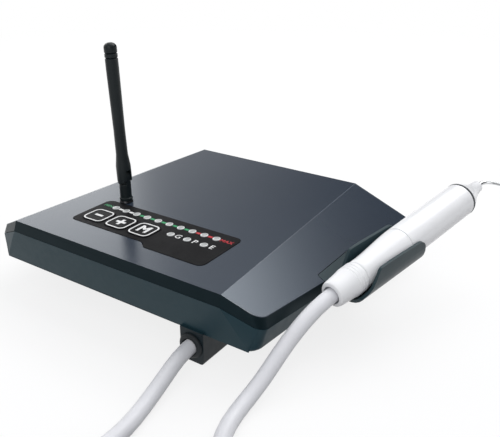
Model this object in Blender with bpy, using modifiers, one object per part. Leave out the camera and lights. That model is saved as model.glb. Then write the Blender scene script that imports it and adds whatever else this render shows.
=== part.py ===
"""Ultrasonic scaler: a desk unit with a keypad, an aerial and a handpiece on a hose.

The frame: +X to the user's right, +Y to the back, +Z up, metres. The unit stands on Z = 0. It is laid
out about its own middle, and the last lines shift everything so that the origin lies under the middle
of the box that unit and handpiece fill together.
"""

from math import atan2, cos, pi, radians, sin, sqrt, tan

import bmesh
import bpy
from mathutils import Matrix, Vector

MM = 0.001

# Casing: two shells that meet along a parting line round the unit
TOP_HEIGHT = 44.0 * MM
TOP_FRONT_WIDTH = 140.4 * MM
TOP_BACK_WIDTH = 120.0 * MM
TOP_DEPTH = 156.8 * MM
FACET_SLOPE = radians(26)
WING_FRONT_WIDTH = 176.6 * MM
WING_FRONT_SETBACK = 4.6 * MM
WING_BACK_WIDTH = 201.8 * MM
WING_BACK_OVERHANG = 5.4 * MM
RIM_HEIGHT = 5.6 * MM
RIM_LEAN = 0.33
PARTING_SLOPE = 0.44
BASE_HEIGHT = 17.4 * MM
FRONT_TAPER = 0.155
SIDE_TAPER = 0.22
WALL = 2.8 * MM
FRONT_CORNER_ROUND = 4.6 * MM
BACK_CORNER_ROUND = 1.6 * MM
EDGE_ROUND = 0.6 * MM
BASE_CORNER_INSET = 3.3 * MM
BASE_EDGE_ROUND = 2.2 * MM
GAP = 0.3 * MM

# Plinth under the lower shell, with the feet
PLINTH_WIDTH = 132.0 * MM
PLINTH_DEPTH = 106.0 * MM
PLINTH_MIDDLE_Y = 15.0 * MM
PLINTH_HEIGHT = 4.0 * MM
PLINTH_ROUND = 9.0 * MM
FOOT_RADIUS = 7.5 * MM
FOOT_INSET = 13.0 * MM
FOOT_STEM_RADIUS = 2.4 * MM

# Hose nose: the snout under the front edge that the hose comes out of
NOSE_LEFT = 45.5 * MM
NOSE_RIGHT = 59.5 * MM
NOSE_OVERHANG = 0.2 * MM
NOSE_BOTTOM = 1.0 * MM
NOSE_LENGTH = 45.0 * MM
GLAND_X = 52.2 * MM
GLAND_HEIGHT = 10.2 * MM
GLAND_RADIUS = 5.0 * MM
GLAND_DEPTH = 6.0 * MM
GLAND_LENGTH = 3.6 * MM
WIRE_BORE_RADIUS = 3.4 * MM

# Hose
HOSE_DIAMETER = 7.6 * MM
COIL_TURN_RADIUS = 42.0 * MM
COIL_X = 104.0 * MM
COIL_Y = -190.0 * MM
COIL_COLUMNS = 3
COIL_LAYERS = 2
COIL_ENTRY = radians(170)
COIL_EXIT = radians(52)

# Keypad
LIGHT_PITCH = 8.0 * MM
LIGHT_COUNT = 10
LIGHT_RADIUS = 2.2 * MM
FIRST_LIGHT_X = -36.6 * MM
LIGHT_ROW_Y = -34.9 * MM
MODE_PITCH = 11.0 * MM
MODE_COUNT = 3
FIRST_MODE_X = 12.2 * MM
MODE_ROW_Y = -44.1 * MM
KEY_PITCH = 16.8 * MM
KEY_SIZE = 14.6 * MM
KEY_ROUND = 3.2 * MM
KEY_ROW_Y = -48.2 * MM
KEY_TRAVEL = 0.5 * MM
KEY_RISE = 0.5 * MM
KEY_CLEARANCE = 0.3 * MM
LABEL_LEFT = -48.0 * MM
LABEL_RIGHT = 47.4 * MM
LABEL_BACK_Y = -27.9 * MM
LABEL_FRONT_Y = -59.0 * MM
LABEL_STEP_X = 10.0 * MM
LABEL_STEP_DEPTH = 4.1 * MM
LABEL_ROUND = 4.0 * MM
LABEL_THICKNESS = 0.5 * MM
LABEL_RISE = 0.2 * MM
LABEL_CLEARANCE = 0.3 * MM

# Aerial
AERIAL_X = -39.0 * MM
AERIAL_Y = -24.0 * MM
AERIAL_TOP = 135.7 * MM
AERIAL_HINGE_HEIGHT = 60.2 * MM
AERIAL_LEAN = radians(2.0)
AERIAL_BASE_RADIUS = 4.25 * MM
AERIAL_WAIST_RADIUS = 3.25 * MM
AERIAL_HEAD_RADIUS = 3.55 * MM
KNUCKLE_RADIUS = 3.4 * MM
TONGUE_THICKNESS = 3.2 * MM
PIN_RADIUS = 0.9 * MM
PIN_CLEARANCE = 0.05 * MM
FORK_CLEARANCE = 0.3 * MM

# Handpiece: distances run along its own axis from the tail face
HAND_X = 103.8 * MM
HAND_Y = -36.8 * MM
HAND_HEIGHT = 34.2 * MM
HAND_YAW = radians(13.0)
HAND_PITCH = radians(9.4)
NUT_TAIL_RADIUS = 6.3 * MM
NUT_HEAD_RADIUS = 7.9 * MM
NUT_LENGTH = 19.5 * MM
NECK_RADIUS = 7.4 * MM
NECK_AT = 34.0 * MM
SWELL_END = 50.0 * MM
GRIP_END = 53.0 * MM
BARREL_RADIUS = 9.5 * MM
BARREL_END = 109.0 * MM
BARREL_WALL = 1.8 * MM
RING_WIDTH = 1.2 * MM
CONE_LENGTH = 18.0 * MM
CONE_END_RADIUS = 3.3 * MM
HOSE_SOCKET_DEPTH = 3.0 * MM
HOSE_SOCKET_RADIUS = 4.7 * MM
TIP_STRAIGHT = 6.3 * MM
TIP_REACH = 16.5 * MM
TIP_ROOT_RADIUS = 1.5 * MM
TIP_POINT_RADIUS = 0.45 * MM

# Cradle: a trough for the handpiece, on a flange let into the right facet
TROUGH_RADIUS = 10.1 * MM
TROUGH_WALL = 1.7 * MM
TROUGH_PITCH = radians(7.3)
TROUGH_LIFT = 1.4 * MM
TROUGH_START = 11.5 * MM
TROUGH_END = 61.0 * MM
TROUGH_SIDE = 6.0 * MM
TROUGH_SKEW = radians(10)
FLANGE_THICKNESS = 1.5 * MM
FLANGE_FRONT_Y = -22.0 * MM
FLANGE_LENGTH = 44.0 * MM
FLANGE_INSET = 4.4 * MM
FLANGE_ROUND = 1.5 * MM
FLANGE_REACH = 11.0 * MM
WEB_THICKNESS = 4.5 * MM
WEB_HEIGHT = 13.5 * MM
PEG_RADIUS = 1.2 * MM

# Back panel fittings, all on one height
PANEL_HEIGHT = 28.0 * MM
SWITCH_X = 42.0 * MM
SWITCH_WIDTH = 19.0 * MM
SWITCH_HEIGHT = 12.6 * MM
SWITCH_BEZEL = 1.6 * MM
SOCKET_X = 18.0 * MM
SOCKET_RADIUS = 5.5 * MM
SOCKET_BORE = 3.0 * MM
INLET_X = -16.0 * MM
INLET_RADIUS = 5.0 * MM
KNOB_X = -44.0 * MM
KNOB_RADIUS = 7.6 * MM
KNOB_LENGTH = 11.0 * MM
KNOB_FLUTES = 12

# Inside
BOARD_THICKNESS = 1.6 * MM
POST_RADIUS = 3.6 * MM
SCREW_RADIUS = 1.5 * MM
SCREW_HEAD_RADIUS = 2.8 * MM
SCREW_INSET_X = 10.0 * MM
SCREW_INSET_Y = 32.0 * MM
SCREW_SINK = 2.0 * MM

ROUND_STEPS = 16
SNAP = 1e-6
MERGE = 1e-5
FLAT = radians(0.2)


# ---------------------------------------------------------------- scene, collections and materials

for old in list(bpy.data.objects):
    bpy.data.objects.remove(old, do_unlink=True)

pieces = bpy.data.collections.new("ultrasonic_scaler")
tools = bpy.data.collections.new("cutters")
for group in (pieces, tools):
    bpy.context.scene.collection.children.link(group)

origin = bpy.data.objects.new("unit_origin", None)
pieces.objects.link(origin)


def plastic(name, colour, roughness, metallic=0.0):
    material = bpy.data.materials.new(name)
    material.use_nodes = True
    shader = material.node_tree.nodes["Principled BSDF"]
    shader.inputs["Base Color"].default_value = (*colour, 1.0)
    shader.inputs["Roughness"].default_value = roughness
    shader.inputs["Metallic"].default_value = metallic
    return material


SLATE = plastic("slate_gloss", (0.045, 0.055, 0.075), 0.12)
TEAL = plastic("teal_satin", (0.030, 0.052, 0.060), 0.40)
BLACK = plastic("black_plastic", (0.012, 0.013, 0.014), 0.45)
LABEL = plastic("label_black", (0.010, 0.010, 0.010), 0.25)
LENS = plastic("lens_clear", (0.75, 0.76, 0.78), 0.15)
RUBBER = plastic("rubber_black", (0.015, 0.015, 0.016), 0.75)
WHITE = plastic("handpiece_white", (0.83, 0.83, 0.84), 0.25)
HOSE = plastic("hose_grey", (0.62, 0.62, 0.65), 0.45)
STEEL = plastic("steel", (0.60, 0.61, 0.62), 0.25, 1.0)
BRASS = plastic("brass", (0.70, 0.52, 0.25), 0.30, 1.0)
BOARD = plastic("board_green", (0.02, 0.16, 0.07), 0.50)
CERAMIC = plastic("ceramic", (0.55, 0.50, 0.42), 0.60)
FERRITE = plastic("ferrite", (0.04, 0.04, 0.045), 0.60)


# ---------------------------------------------------------------- modelling helpers


def place(mesh_or_profile, name, material, parent=None, at=None):
    """Puts a mesh in the model as one named piece."""
    piece = bpy.data.objects.new(name, mesh_or_profile)
    piece.data.materials.append(material)
    pieces.objects.link(piece)
    piece.parent = parent or origin
    if at is not None:
        piece.matrix_local = at
    return piece


def tool(mesh, name, parent=None, at=None):
    """A guide for a Boolean: it is no part of the model."""
    guide = bpy.data.objects.new(name, mesh)
    tools.objects.link(guide)
    guide.parent = parent or origin
    guide.display_type = "WIRE"
    guide.hide_render = True
    if at is not None:
        guide.matrix_local = at
    return guide


def combine(piece, guide, operation="DIFFERENCE", solver="EXACT"):
    boolean = piece.modifiers.new(guide.name, "BOOLEAN")
    boolean.operation = operation
    boolean.solver = solver
    boolean.object = guide
    return piece


def finish_mesh(bm, name):
    bmesh.ops.recalc_face_normals(bm, faces=bm.faces[:])
    mesh = bpy.data.meshes.new(name)
    bm.to_mesh(mesh)
    bm.free()
    return mesh


def box_mesh(name, low, high):
    bm = bmesh.new()
    low, high = Vector(low), Vector(high)
    size = high - low
    frame = Matrix.Translation((low + high) / 2) @ Matrix.Diagonal((*size, 1.0))
    bmesh.ops.create_cube(bm, size=1.0, matrix=frame)
    return finish_mesh(bm, name)


def rod_mesh(name, radius, start, end, steps=ROUND_STEPS, end_radius=None):
    """A round bar or cone from one point to another."""
    start, end = Vector(start), Vector(end)
    turn = (end - start).to_track_quat("Z", "Y").to_matrix().to_4x4()
    bm = bmesh.new()
    bmesh.ops.create_cone(
        bm,
        cap_ends=True,
        segments=steps,
        radius1=radius,
        radius2=radius if end_radius is None else end_radius,
        depth=(end - start).length,
        matrix=Matrix.Translation((start + end) / 2) @ turn,
    )
    return finish_mesh(bm, name)


def merge_meshes(name, meshes):
    """Several closed bodies that don't touch, as one guide."""
    bm = bmesh.new()
    for mesh in meshes:
        bm.from_mesh(mesh)
    return finish_mesh(bm, name)


def rounded(corners, steps=4):
    """An outline whose corners (x, y, radius) are rounded with arcs."""
    points = []
    for index, (x, y, radius) in enumerate(corners):
        corner = Vector((x, y))
        back = (Vector(corners[index - 1][:2]) - corner).normalized()
        ahead = (Vector(corners[(index + 1) % len(corners)][:2]) - corner).normalized()
        if radius <= 0:
            points.append(corner)
            continue
        half = back.angle(ahead) / 2
        centre = corner + (back + ahead).normalized() * radius / sin(half)
        first = corner + back * radius / tan(half) - centre
        last = corner + ahead * radius / tan(half) - centre
        begin = atan2(first.y, first.x)
        sweep = (atan2(last.y, last.x) - begin + pi) % (2 * pi) - pi
        for step in range(steps + 1):
            angle = begin + sweep * step / steps
            points.append(centre + radius * Vector((cos(angle), sin(angle))))
    return points


def rectangle(left, front, right, back, radius):
    return [(left, front, radius), (right, front, radius), (right, back, radius), (left, back, radius)]


def outline_mesh(name, outline, low, high):
    """A flat outline with a thickness, made as a filled 2D curve."""
    curve = bpy.data.curves.new(name, "CURVE")
    curve.dimensions = "2D"
    curve.fill_mode = "BOTH"
    curve.extrude = (high - low) / 2
    spline = curve.splines.new("POLY")
    spline.points.add(len(outline) - 1)
    for point, spot in zip(spline.points, outline):
        point.co = (spot[0], spot[1], 0.0, 1.0)
    spline.use_cyclic_u = True
    mesh = curve_mesh(curve, Matrix.Translation((0, 0, (low + high) / 2)))
    bm = bmesh.new()
    bm.from_mesh(mesh)
    bpy.data.meshes.remove(mesh)
    bmesh.ops.dissolve_limit(bm, angle_limit=FLAT, verts=bm.verts[:], edges=bm.edges[:])
    return finish_mesh(bm, name)


def curve_mesh(curve, frame=None):
    """The closed mesh of a curve, with its caps welded."""
    holder = bpy.data.objects.new(curve.name, curve)
    tools.objects.link(holder)
    graph = bpy.context.evaluated_depsgraph_get()
    mesh = bpy.data.meshes.new_from_object(holder.evaluated_get(graph))
    bpy.data.objects.remove(holder)
    bm = bmesh.new()
    bm.from_mesh(mesh)
    bmesh.ops.remove_doubles(bm, verts=bm.verts[:], dist=MERGE)
    if frame is not None:
        bm.transform(frame)
    bpy.data.meshes.remove(mesh)
    return finish_mesh(bm, curve.name)


def profile_mesh(name, profile, closed=False):
    """The half section of a turned piece: (radius, height) points that run down its outer side."""
    bm = bmesh.new()
    spots = [bm.verts.new((radius, 0.0, height)) for radius, height in profile]
    pairs = list(zip(spots, spots[1:]))
    if closed:
        pairs.append((spots[-1], spots[0]))
    for first, second in pairs:
        bm.edges.new((first, second))
    mesh = bpy.data.meshes.new(name)
    bm.to_mesh(mesh)
    bm.free()
    return mesh


def turned(name, profile, material, parent=None, at=None, closed=False, steps=ROUND_STEPS, guide=False):
    """A piece turned about its own Z axis."""
    mesh = profile_mesh(name, profile, closed)
    piece = tool(mesh, name, parent, at) if guide else place(mesh, name, material, parent, at)
    screw = piece.modifiers.new("turn", "SCREW")
    screw.steps = steps
    screw.render_steps = steps
    screw.use_merge_vertices = True
    screw.merge_threshold = MERGE
    screw.use_smooth_shade = True
    return piece


def soften(bm, chosen, offset, steps):
    edges = [edge for edge in bm.edges if chosen(edge)]
    bmesh.ops.bevel(bm, geom=edges, offset=offset, segments=steps, profile=0.5, affect="EDGES")


def softened_mesh(mesh, chosen, offset, steps):
    bm = bmesh.new()
    bm.from_mesh(mesh)
    soften(bm, chosen, offset, steps)
    name = mesh.name
    bpy.data.meshes.remove(mesh)
    return finish_mesh(bm, name)


def on_level(height):
    return lambda edge: all(abs(spot.co.z - height) < SNAP for spot in edge.verts)


def facing_back():
    """Turns a shape's +Z to +Y, its +X staying: for pieces that point out of the back panel."""
    return Matrix.Rotation(-pi / 2, 4, "X")


def facing_front():
    """Turns a shape's +Z to -Y, its +X staying."""
    return Matrix.Rotation(pi / 2, 4, "X")


# ---------------------------------------------------------------- casing blocks
# Both shells are blocks cut by planes. A plane is a point on it and the direction that it faces.

UP = Vector((0, 0, 1))


def wall_plane(first, second, lean):
    """The plane through two points that moves outward by lean for each unit of drop."""
    run = second - first
    level = Vector((run.x, run.y, 0))
    along = level.normalized()
    outward = Vector((along.y, -along.x, 0))
    if outward.dot(first + second) < 0:
        outward.negate()
    slip = -lean * run.z / level.length
    return first, (along * slip + outward * sqrt(1 - slip * slip) + UP * lean).normalized()


def flipped(plane):
    """The same plane on the unit's other side."""
    point, facing = plane
    return Vector((-point.x, point.y, point.z)), Vector((-facing.x, facing.y, facing.z))


def meet(*planes):
    """The corner where three planes meet."""
    facings = Matrix([facing for _, facing in planes])
    return facings.inverted() @ Vector([facing.dot(point) for point, facing in planes])


def moved(plane, distance):
    point, facing = plane
    return point + facing * distance, facing


def slice_block(bm, planes, inset):
    for plane in planes:
        point, facing = moved(plane, -inset)
        everything = bm.verts[:] + bm.edges[:] + bm.faces[:]
        cut = bmesh.ops.bisect_plane(bm, geom=everything, plane_co=point, plane_no=facing, clear_outer=True)
        rim = [part for part in cut["geom_cut"] if isinstance(part, bmesh.types.BMEdge)]
        bmesh.ops.edgeloop_fill(bm, edges=rim)


def between(first, second, inset):
    """Picks the edge where two walls of a block meet."""
    shifted = [moved(plane, -inset) for plane in (first, second)]
    return lambda edge: all(
        abs((spot.co - point).dot(facing)) < SNAP for spot in edge.verts for point, facing in shifted
    )


def blank(inset):
    """The bar that a block is cut from. Its back is already right: the wings reach further back."""
    ground = (Vector((0, 0, 0)), UP)
    middle = meet(moved(back_wall, -inset), moved(wing_wall, -inset), ground)
    far = middle + (wing_back - top_back) * 3
    far.z = 0
    outline = [(far.x, -4 * TOP_DEPTH), far[:2], middle[:2]]
    outline += [(-x, y) for x, y in reversed(outline)]
    return outline_mesh("blank", outline, -2 * TOP_DEPTH, 2 * TOP_DEPTH)


def block(walls, rounds, lids, inset=0.0):
    """A block with rounded upright edges, cut by its lids afterwards. Inset moves every face inward."""
    mesh = blank(inset)
    bm = bmesh.new()
    bm.from_mesh(mesh)
    bpy.data.meshes.remove(mesh)
    slice_block(bm, walls, inset)
    for first, second, offset in rounds:
        soften(bm, between(first, second, inset), max(offset - inset, offset / 4), 5)
    slice_block(bm, lids, inset)
    return bm


top_front = Vector((TOP_FRONT_WIDTH / 2, -TOP_DEPTH / 2, TOP_HEIGHT))
top_back = Vector((TOP_BACK_WIDTH / 2, TOP_DEPTH / 2, TOP_HEIGHT))
crease = (top_back - top_front).normalized()
facet_side = Vector((crease.y, -crease.x, 0))
facet = (top_front, facet_side * sin(FACET_SLOPE) + UP * cos(FACET_SLOPE))


def on_facet(x, y):
    """The point of the right facet above (x, y)."""
    point, facing = facet
    height = point.z - (facing.x * (x - point.x) + facing.y * (y - point.y)) / facing.z
    return Vector((x, y, height))


def other_side(point):
    return Vector((-point.x, point.y, point.z))


wing_front = on_facet(WING_FRONT_WIDTH / 2, -TOP_DEPTH / 2 + WING_FRONT_SETBACK)
wing_back = on_facet(WING_BACK_WIDTH / 2, TOP_DEPTH / 2 + WING_BACK_OVERHANG)

top_plane = (top_front, UP)
front_wall = wall_plane(other_side(top_front), top_front, RIM_LEAN)
corner_wall = wall_plane(top_front, wing_front, RIM_LEAN)
side_wall = wall_plane(wing_front, wing_back, RIM_LEAN)
wing_wall = wall_plane(wing_back, top_back, 0.0)
back_wall = wall_plane(top_back, other_side(top_back), 0.0)

parting_level = (Vector((0, 0, TOP_HEIGHT - RIM_HEIGHT)), UP)
parting_break = meet(front_wall, corner_wall, parting_level)
parting_side = (parting_break, (facet_side * PARTING_SLOPE + UP).normalized())
parting_corner = meet(corner_wall, side_wall, parting_side)
parting_tip = meet(side_wall, wing_wall, parting_side)
parting = [parting_level, parting_side, flipped(parting_side)]

low_front_wall = wall_plane(other_side(parting_break), parting_break, -FRONT_TAPER)
low_side_wall = wall_plane(parting_corner, parting_tip, -SIDE_TAPER)
base_plane = (Vector((0, 0, BASE_HEIGHT)), -UP)
corner_x = Vector((wing_front.x - BASE_CORNER_INSET, 0, 0))
base_corner = meet(low_front_wall, base_plane, (corner_x, Vector((1, 0, 0))))
corner_facing = (base_corner - parting_break).cross(parting_corner - parting_break).normalized()
if corner_facing.y > 0:
    corner_facing.negate()
low_corner_wall = (parting_break, corner_facing)


def both(*planes):
    return [side for plane in planes for side in (plane, flipped(plane))]


def both_rounds(*rounds):
    return [
        turn
        for first, second, offset in rounds
        for turn in ((first, second, offset), (flipped(first), flipped(second), offset))
    ]


upper_walls = [front_wall, *both(corner_wall, side_wall)]
upper_rounds = both_rounds(
    (corner_wall, side_wall, FRONT_CORNER_ROUND), (side_wall, wing_wall, BACK_CORNER_ROUND)
)
upper_lids = [top_plane, *both(facet)]
lower_walls = [low_front_wall, *both(low_corner_wall, low_side_wall)]
lower_rounds = both_rounds(
    (low_corner_wall, low_side_wall, FRONT_CORNER_ROUND), (low_side_wall, wing_wall, BACK_CORNER_ROUND)
)

plinth_left = -PLINTH_WIDTH / 2
plinth_front = PLINTH_MIDDLE_Y - PLINTH_DEPTH / 2
plinth_back = PLINTH_MIDDLE_Y + PLINTH_DEPTH / 2


def plinth_outline(inset):
    return rounded(
        rectangle(
            plinth_left + inset,
            plinth_front + inset,
            -plinth_left - inset,
            plinth_back - inset,
            PLINTH_ROUND - inset,
        )
    )


post_spots = [
    (side * (PLINTH_WIDTH / 2 - SCREW_INSET_X), PLINTH_MIDDLE_Y + end * (PLINTH_DEPTH / 2 - SCREW_INSET_Y))
    for side in (-1, 1)
    for end in (-1, 1)
]
foot_spots = [
    (side * (PLINTH_WIDTH / 2 - FOOT_INSET), PLINTH_MIDDLE_Y + end * (PLINTH_DEPTH / 2 - FOOT_INSET))
    for side in (-1, 1)
    for end in (-1, 1)
]
post_joint = BASE_HEIGHT + 9.0 * MM
roof = TOP_HEIGHT - WALL
panel_y = top_back.y
nose_front_y = top_front.y - NOSE_OVERHANG


def shape_shell(shell, guide, operation="DIFFERENCE"):
    """Cuts or joins a shell. Its rounded corners end in slivers, where the exact solver can lose a wall."""
    return combine(shell, guide, operation, "MANIFOLD")


# ---------------------------------------------------------------- lower shell with plinth and hose nose


def lower_shell():
    body = block(lower_walls, lower_rounds, [*[moved(plane, -GAP) for plane in parting], base_plane])
    soften(body, on_level(BASE_HEIGHT), BASE_EDGE_ROUND, 3)
    shell = place(finish_mesh(body, "lower_shell"), "lower_shell", TEAL)

    plinth = outline_mesh("plinth", plinth_outline(0.0), PLINTH_HEIGHT, BASE_HEIGHT + WALL / 2)
    plinth = softened_mesh(plinth, on_level(PLINTH_HEIGHT), 1.5 * MM, 2)
    shape_shell(shell, tool(plinth, "plinth"), "UNION")

    snout = [
        (NOSE_LEFT, BASE_HEIGHT + WALL / 2, 0.0),
        (NOSE_LEFT, NOSE_BOTTOM, 4.5 * MM),
        (NOSE_RIGHT, NOSE_BOTTOM, 2.0 * MM),
        (NOSE_RIGHT, BASE_HEIGHT + WALL / 2, 0.0),
    ]
    length = NOSE_LENGTH
    nose = outline_mesh("hose_nose", rounded(snout), -length / 2, length / 2)
    frame = Matrix.Translation((0, nose_front_y + length / 2, 0)) @ facing_front()
    shape_shell(shell, tool(nose, "hose_nose", at=frame), "UNION")

    hollow = finish_mesh(block(lower_walls, lower_rounds, [base_plane], WALL), "lower_hollow")
    shape_shell(shell, tool(hollow, "lower_hollow"))
    well = outline_mesh("plinth_hollow", plinth_outline(WALL), PLINTH_HEIGHT + WALL, BASE_HEIGHT + 2 * WALL)
    shape_shell(shell, tool(well, "plinth_hollow"))

    posts = [
        rod_mesh("post", POST_RADIUS, (x, y, PLINTH_HEIGHT + WALL / 2), (x, y, post_joint), 12)
        for x, y in post_spots
    ]
    shape_shell(shell, tool(merge_meshes("posts", posts), "posts"), "UNION")
    bores = []
    for x, y in post_spots:
        bores.append(rod_mesh("bore", SCREW_RADIUS + GAP, (x, y, 0), (x, y, BASE_HEIGHT * 2), 12))
    shape_shell(shell, tool(merge_meshes("screw_bores", bores), "screw_bores"))
    sinks = []
    for x, y in post_spots:
        sink_top = PLINTH_HEIGHT + SCREW_SINK + GAP
        sinks.append(rod_mesh("sink", SCREW_HEAD_RADIUS + GAP, (x, y, 0), (x, y, sink_top), 12))
    for x, y in foot_spots:
        sinks.append(rod_mesh("hole", FOOT_STEM_RADIUS + GAP, (x, y, 0), (x, y, 3 * PLINTH_HEIGHT), 12))
    shape_shell(shell, tool(merge_meshes("screw_sinks", sinks), "screw_sinks"))

    mouth = (GLAND_X, nose_front_y - MM, GLAND_HEIGHT)
    recess_end = (GLAND_X, nose_front_y + GLAND_DEPTH, GLAND_HEIGHT)
    shape_shell(shell, tool(rod_mesh("hose_recess", GLAND_RADIUS, mouth, recess_end), "hose_recess"))
    wire_end = (GLAND_X, plinth_front + 2 * WALL, GLAND_HEIGHT)
    shape_shell(shell, tool(rod_mesh("wire_bore", WIRE_BORE_RADIUS, mouth, wire_end, 12), "wire_bore"))

    out = panel_y + MM
    deep = panel_y - 2 * WALL
    window = box_mesh(
        "switch_window",
        (SWITCH_X - SWITCH_WIDTH / 2, deep, PANEL_HEIGHT - SWITCH_HEIGHT / 2),
        (SWITCH_X + SWITCH_WIDTH / 2, out, PANEL_HEIGHT + SWITCH_HEIGHT / 2),
    )
    holes = [window]
    for x, radius in ((SOCKET_X, SOCKET_RADIUS), (INLET_X, INLET_RADIUS), (KNOB_X, KNOB_RADIUS / 2)):
        holes.append(rod_mesh("panel_hole", radius, (x, deep, PANEL_HEIGHT), (x, out, PANEL_HEIGHT)))
    shape_shell(shell, tool(merge_meshes("panel_holes", holes), "panel_holes"))
    return shell


# ---------------------------------------------------------------- upper shell with keypad and flange seats

label_corners = [
    (LABEL_LEFT, LABEL_FRONT_Y, LABEL_ROUND),
    (LABEL_STEP_X - LABEL_STEP_DEPTH, LABEL_FRONT_Y, LABEL_ROUND),
    (LABEL_STEP_X, LABEL_FRONT_Y - LABEL_STEP_DEPTH, LABEL_ROUND),
    (LABEL_RIGHT, LABEL_FRONT_Y - LABEL_STEP_DEPTH, LABEL_ROUND),
    (LABEL_RIGHT, LABEL_BACK_Y, LABEL_ROUND),
    (LABEL_LEFT, LABEL_BACK_Y, LABEL_ROUND),
]
light_spots = [(FIRST_LIGHT_X + index * LIGHT_PITCH, LIGHT_ROW_Y) for index in range(LIGHT_COUNT)]
mode_spots = [(FIRST_MODE_X + index * MODE_PITCH, MODE_ROW_Y) for index in range(MODE_COUNT)]
key_spots = {
    name: (FIRST_LIGHT_X + index * KEY_PITCH, KEY_ROW_Y)
    for index, name in enumerate(("key_minus", "key_plus", "key_mode"))
}
label_top = TOP_HEIGHT + LABEL_RISE
label_floor = label_top - LABEL_THICKNESS - GAP
GUIDE_HALF_WIDTH = LIGHT_RADIUS + 0.4 * MM


def grown(corners, extra):
    """An outline of rounded corners moved outward by a clearance, about the label's middle."""
    middle_x = (LABEL_LEFT + LABEL_RIGHT) / 2
    middle_y = (LABEL_FRONT_Y + LABEL_BACK_Y) / 2
    moved_out = []
    for x, y, radius in corners:
        side = extra if x > middle_x or x in (LABEL_STEP_X, LABEL_RIGHT) else -extra
        side = -extra if LABEL_LEFT < x < LABEL_RIGHT else side
        end = extra if y > middle_y else -extra
        moved_out.append((x + side, y + end, radius))
    return moved_out


def key_square(x, y, extra):
    half = KEY_SIZE / 2 + extra
    return rounded(rectangle(x - half, y - half, x + half, y + half, KEY_ROUND + extra), 3)


def slot_box(name, spots, low, high, extra):
    """A slot or bar along a row of lights."""
    reach = GUIDE_HALF_WIDTH + extra
    (first_x, y), (last_x, _) = spots[0], spots[-1]
    return box_mesh(name, (first_x - reach, y - reach, low), (last_x + reach, y + reach, high))


def flange_frame():
    """On the facet: X down its slope, Y along the unit, Z out of it."""
    edge = on_facet(side_x(FLANGE_FRONT_Y), FLANGE_FRONT_Y)
    tilt = Matrix((*(tuple(axis) for axis in facet_axes()),)).transposed().to_4x4()
    return Matrix.Translation(edge) @ tilt


def facet_axes():
    facing = facet[1]
    ahead = Vector((0, 1, 0)) - facing * facing.y
    ahead.normalize()
    return ahead.cross(facing), ahead, facing


def side_x(y):
    """Where the right facet's outer edge is, at a distance along the unit."""
    share = (y - wing_front.y) / (wing_back.y - wing_front.y)
    return wing_front.x + share * (wing_back.x - wing_front.x)


def flange_outline(extra, reach):
    return rounded(
        [
            (-FLANGE_INSET - extra, -extra, FLANGE_ROUND + extra),
            (reach, -extra, 0.0),
            (reach, FLANGE_LENGTH + extra, 0.0),
            (-FLANGE_INSET - extra, FLANGE_LENGTH + extra, FLANGE_ROUND + extra),
        ]
    )


peg_spots = [(-FLANGE_INSET / 2, FLANGE_LENGTH * share) for share in (0.3, 0.8)]


def upper_shell():
    body = block(upper_walls, upper_rounds, upper_lids)
    low = min(parting_tip.z, parting_corner.z) - 2 * RIM_HEIGHT
    slice_block(body, [(Vector((0, 0, low)), -UP)], 0.0)
    shell = place(finish_mesh(body, "upper_shell"), "upper_shell", SLATE)
    edge = shell.modifiers.new("soft_edges", "BEVEL")
    edge.width = EDGE_ROUND
    edge.segments = 2
    edge.limit_method = "ANGLE"
    edge.angle_limit = radians(18)

    hollow = finish_mesh(block(upper_walls, upper_rounds, upper_lids, WALL), "upper_hollow")
    shape_shell(shell, tool(hollow, "upper_hollow"))
    below = bmesh.new()
    bmesh.ops.create_cube(below, size=4 * TOP_DEPTH)
    slice_block(below, parting, 0.0)
    shape_shell(shell, tool(finish_mesh(below, "below_parting"), "below_parting"))

    posts = [
        rod_mesh("boss", POST_RADIUS, (x, y, post_joint + GAP), (x, y, roof + WALL / 2), 12)
        for x, y in post_spots
    ]
    shape_shell(shell, tool(merge_meshes("bosses", posts), "bosses"), "UNION")
    pilots = []
    for x, y in post_spots:
        pilots.append(rod_mesh("pilot", SCREW_RADIUS + GAP, (x, y, BASE_HEIGHT), (x, y, roof - 4 * MM), 12))
    shape_shell(shell, tool(merge_meshes("pilots", pilots), "pilots"))

    seat = outline_mesh(
        "label_seat", rounded(grown(label_corners, LABEL_CLEARANCE)), label_floor, TOP_HEIGHT + WALL
    )
    shape_shell(shell, tool(seat, "label_seat"))
    openings = [
        outline_mesh("key_opening", key_square(x, y, KEY_CLEARANCE), roof - WALL, TOP_HEIGHT + WALL)
        for x, y in key_spots.values()
    ]
    for spots in (light_spots, mode_spots):
        openings.append(slot_box("light_slot", spots, roof - WALL, TOP_HEIGHT + WALL, GAP))
    jack_hole = rod_mesh(
        "jack_hole",
        KNUCKLE_RADIUS,
        (AERIAL_X, AERIAL_Y, roof - WALL),
        (AERIAL_X, AERIAL_Y, TOP_HEIGHT + WALL),
    )
    openings.append(jack_hole)
    shape_shell(shell, tool(merge_meshes("top_openings", openings), "top_openings"))

    seat_floor = -FLANGE_THICKNESS - GAP
    flange_seat = outline_mesh("flange_seat", flange_outline(GAP, FLANGE_REACH), seat_floor, WALL)
    shape_shell(shell, tool(flange_seat, "flange_seat", at=flange_frame()))
    peg_holes = [
        rod_mesh("peg_hole", PEG_RADIUS + GAP, (x, y, -3 * WALL), (x, y, WALL), 10) for x, y in peg_spots
    ]
    shape_shell(shell, tool(merge_meshes("peg_holes", peg_holes), "peg_holes", at=flange_frame()))
    return shell


# ---------------------------------------------------------------- keypad: overlay, keys, light guides


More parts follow.
